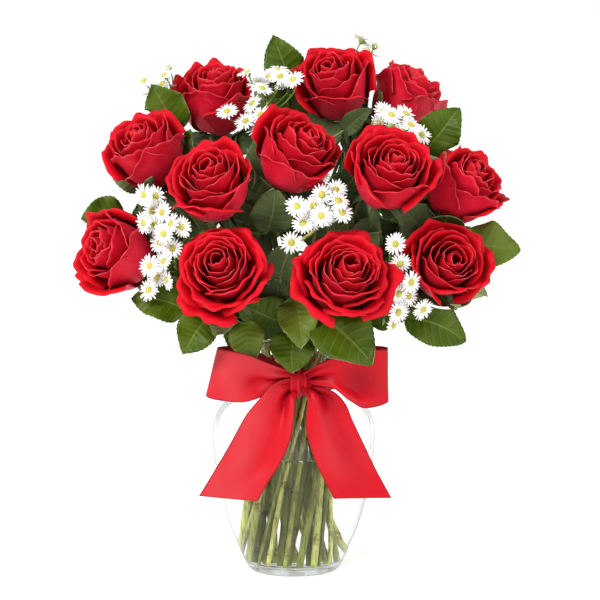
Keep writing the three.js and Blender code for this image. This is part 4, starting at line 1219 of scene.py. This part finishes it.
def strip(shape, edges, rows, front, light, hills, both_ends):
    """A stretch of ribbon between its two edges, with pleats where it's gathered, and its painted
    sheen and shade as the third mark.
    """
    line = rounded(np.array(edges, float).reshape(len(edges), 6), STRIP_STEPS)
    far = lengths((line[:, :3] + line[:, 3:]) / 2)
    even = np.linspace(0, far[-1], rows + 1)
    line = np.stack([np.interp(even, far, line[:, k]) for k in range(6)], 1)
    across, up = spread(STRIP_COLUMNS, rows)
    share = (across[..., None] + 1) / 2
    points = line[:, None, :3] * (1 - share) + line[:, None, 3:] * share
    normal = np.cross(np.gradient(points, axis=1), np.gradient(points, axis=0))
    normal *= front / np.linalg.norm(normal, axis=-1)[..., None]
    along = up * far[-1]
    near = np.minimum(along, far[-1] - along) if both_ends else along
    height = np.zeros_like(up)
    for waves, size, reach, phase in PLEATS:
        height += size * np.exp(-(near / reach) ** 2) * np.cos(np.pi * waves * across + phase)
    for place, side, size, long, wide in hills:
        height += size * np.exp(-((along - place) / long) ** 2 - ((across - side) / wide) ** 2)
    points = points + height[..., None] * normal
    # Painted light: the third mark is the stretch's painted sheen, lighter towards one edge and on
    # hills and fading near the knot, with painted shade in hollows and at the knot.
    painted_sheen_and_shade = light * smooth(near / KNOT_SHADE_REACH) * (1 - 0.5 * across * light) + height * HILL_SHEEN_AND_SHADE
    painted_sheen_and_shade = painted_sheen_and_shade - KNOT_SHADE * np.exp(-(near / KNOT_SHADE_REACH) ** 2)
    grid(shape, STRIP_COLUMNS, rows, points, np.stack([across, along, painted_sheen_and_shade], -1),
         thickness=SATIN)


def knot(shape):
    """The ribbon gathered round itself, with its pleats running up and down."""
    across, up = spread(*KNOT_GRID)
    angle = up * 2 * np.pi
    pleat = 1.1 * np.cos(np.pi * 3.5 * across + 0.5 * np.sin(angle) + 0.6)
    pleat = pleat + 0.7 * np.cos(np.pi * 1.5 * across + 0.4 * np.cos(angle))
    full = np.sqrt(1 - 0.5 * across ** 2)
    wide, deep, high = KNOT_SIZE
    points = np.stack([KNOT[0] + across * (wide + 0.9 * np.cos(angle)),
                       KNOT[1] - np.cos(angle) * (deep * full + pleat),
                       KNOT[2] + np.sin(angle) * (high * full + pleat * 0.8)], -1)
    # The third mark, 0.1, gives the knot a little painted sheen.
    marks = np.stack([across, angle * (deep + high) / 2, np.full_like(up, 0.1)], -1)
    grid(shape, *KNOT_GRID, points, marks, thickness=SATIN, weld=True)


def band(shape):
    """The ribbon round the neck, drawn up in level folds."""
    across, up = spread(*BAND_GRID)
    angle = up * 2 * np.pi
    fold = 1.5 * np.cos(np.pi * 3 * across + 0.7 * np.sin(angle * 3)) + 0.3 * np.sin(angle * 7)
    height = BAND_UP + BAND_HALF * across + 0.7 * np.sin(angle * 2 + 1)
    points = np.stack([-(BAND + fold) * np.sin(angle), (BAND + fold) * np.cos(angle), height], -1)
    marks = np.stack([across, up * BAND_LONG, up * 0], -1)
    grid(shape, *BAND_GRID, points, marks, thickness=SATIN, weld=True)


def ribbon(looks):
    """Two loops, two tails, the knot and a band round the neck, all of one ribbon."""
    shape = start()
    for stretch in STRETCHES:
        strip(shape, *stretch)
    knot(shape)
    band(shape)
    made = piece("ribbon", shape, looks, "ribbon_bow")
    return made


# --------------------------------------------------------------------------- making

camera()
white_walls()
softbox("key", *KEY)
softbox("fill", *FILL)
white_floor(floor_white())
scene.view_settings.view_transform = "Standard"

petal_looks = [petal_inside(), petal_outside(), petal_rim_highlight()]
for index, one in enumerate(roses):
    bloom(index, one, petal_looks)
bark, plain = stem_skin(), calyx_green()
under = leaf_face("leaf_under", (0.16, 0.22, 0.09), (0.22, 0.28, 0.13), (0.30, 0.36, 0.16), 0.6)
rose_leaf = leaf_face("rose_leaf", (0.038, 0.062, 0.018), (0.080, 0.105, 0.038),
                      (0.13, 0.16, 0.06), 0.5)
salal_leaf = leaf_face("salal_leaf", (0.030, 0.062, 0.001), (0.065, 0.105, 0.004),
                       (0.12, 0.17, 0.02), 0.36)
for index, one in enumerate(roses):
    rose_stem(index, one, [bark, rose_leaf, under, plain])
for index in range(len(SALAL)):
    salal_branch(index, [bark, salal_leaf, under, plain])
ribbon([satin()])
aster_looks = [aster_ray(), aster_disc(), plain, bark]
for index in range(len(ASTERS)):
    aster_spray(index, aster_looks)
vase([clear("clear_glass", GLASS_INDEX, (0.985, 0.995, 0.99)),
      clear("glass_in_water", GLASS_INDEX / WATER_INDEX, (0.99, 0.998, 0.994))])
water([clear("clear_water", SURFACE_INDEX, (0.985, 0.998, 0.99)), unseen()])
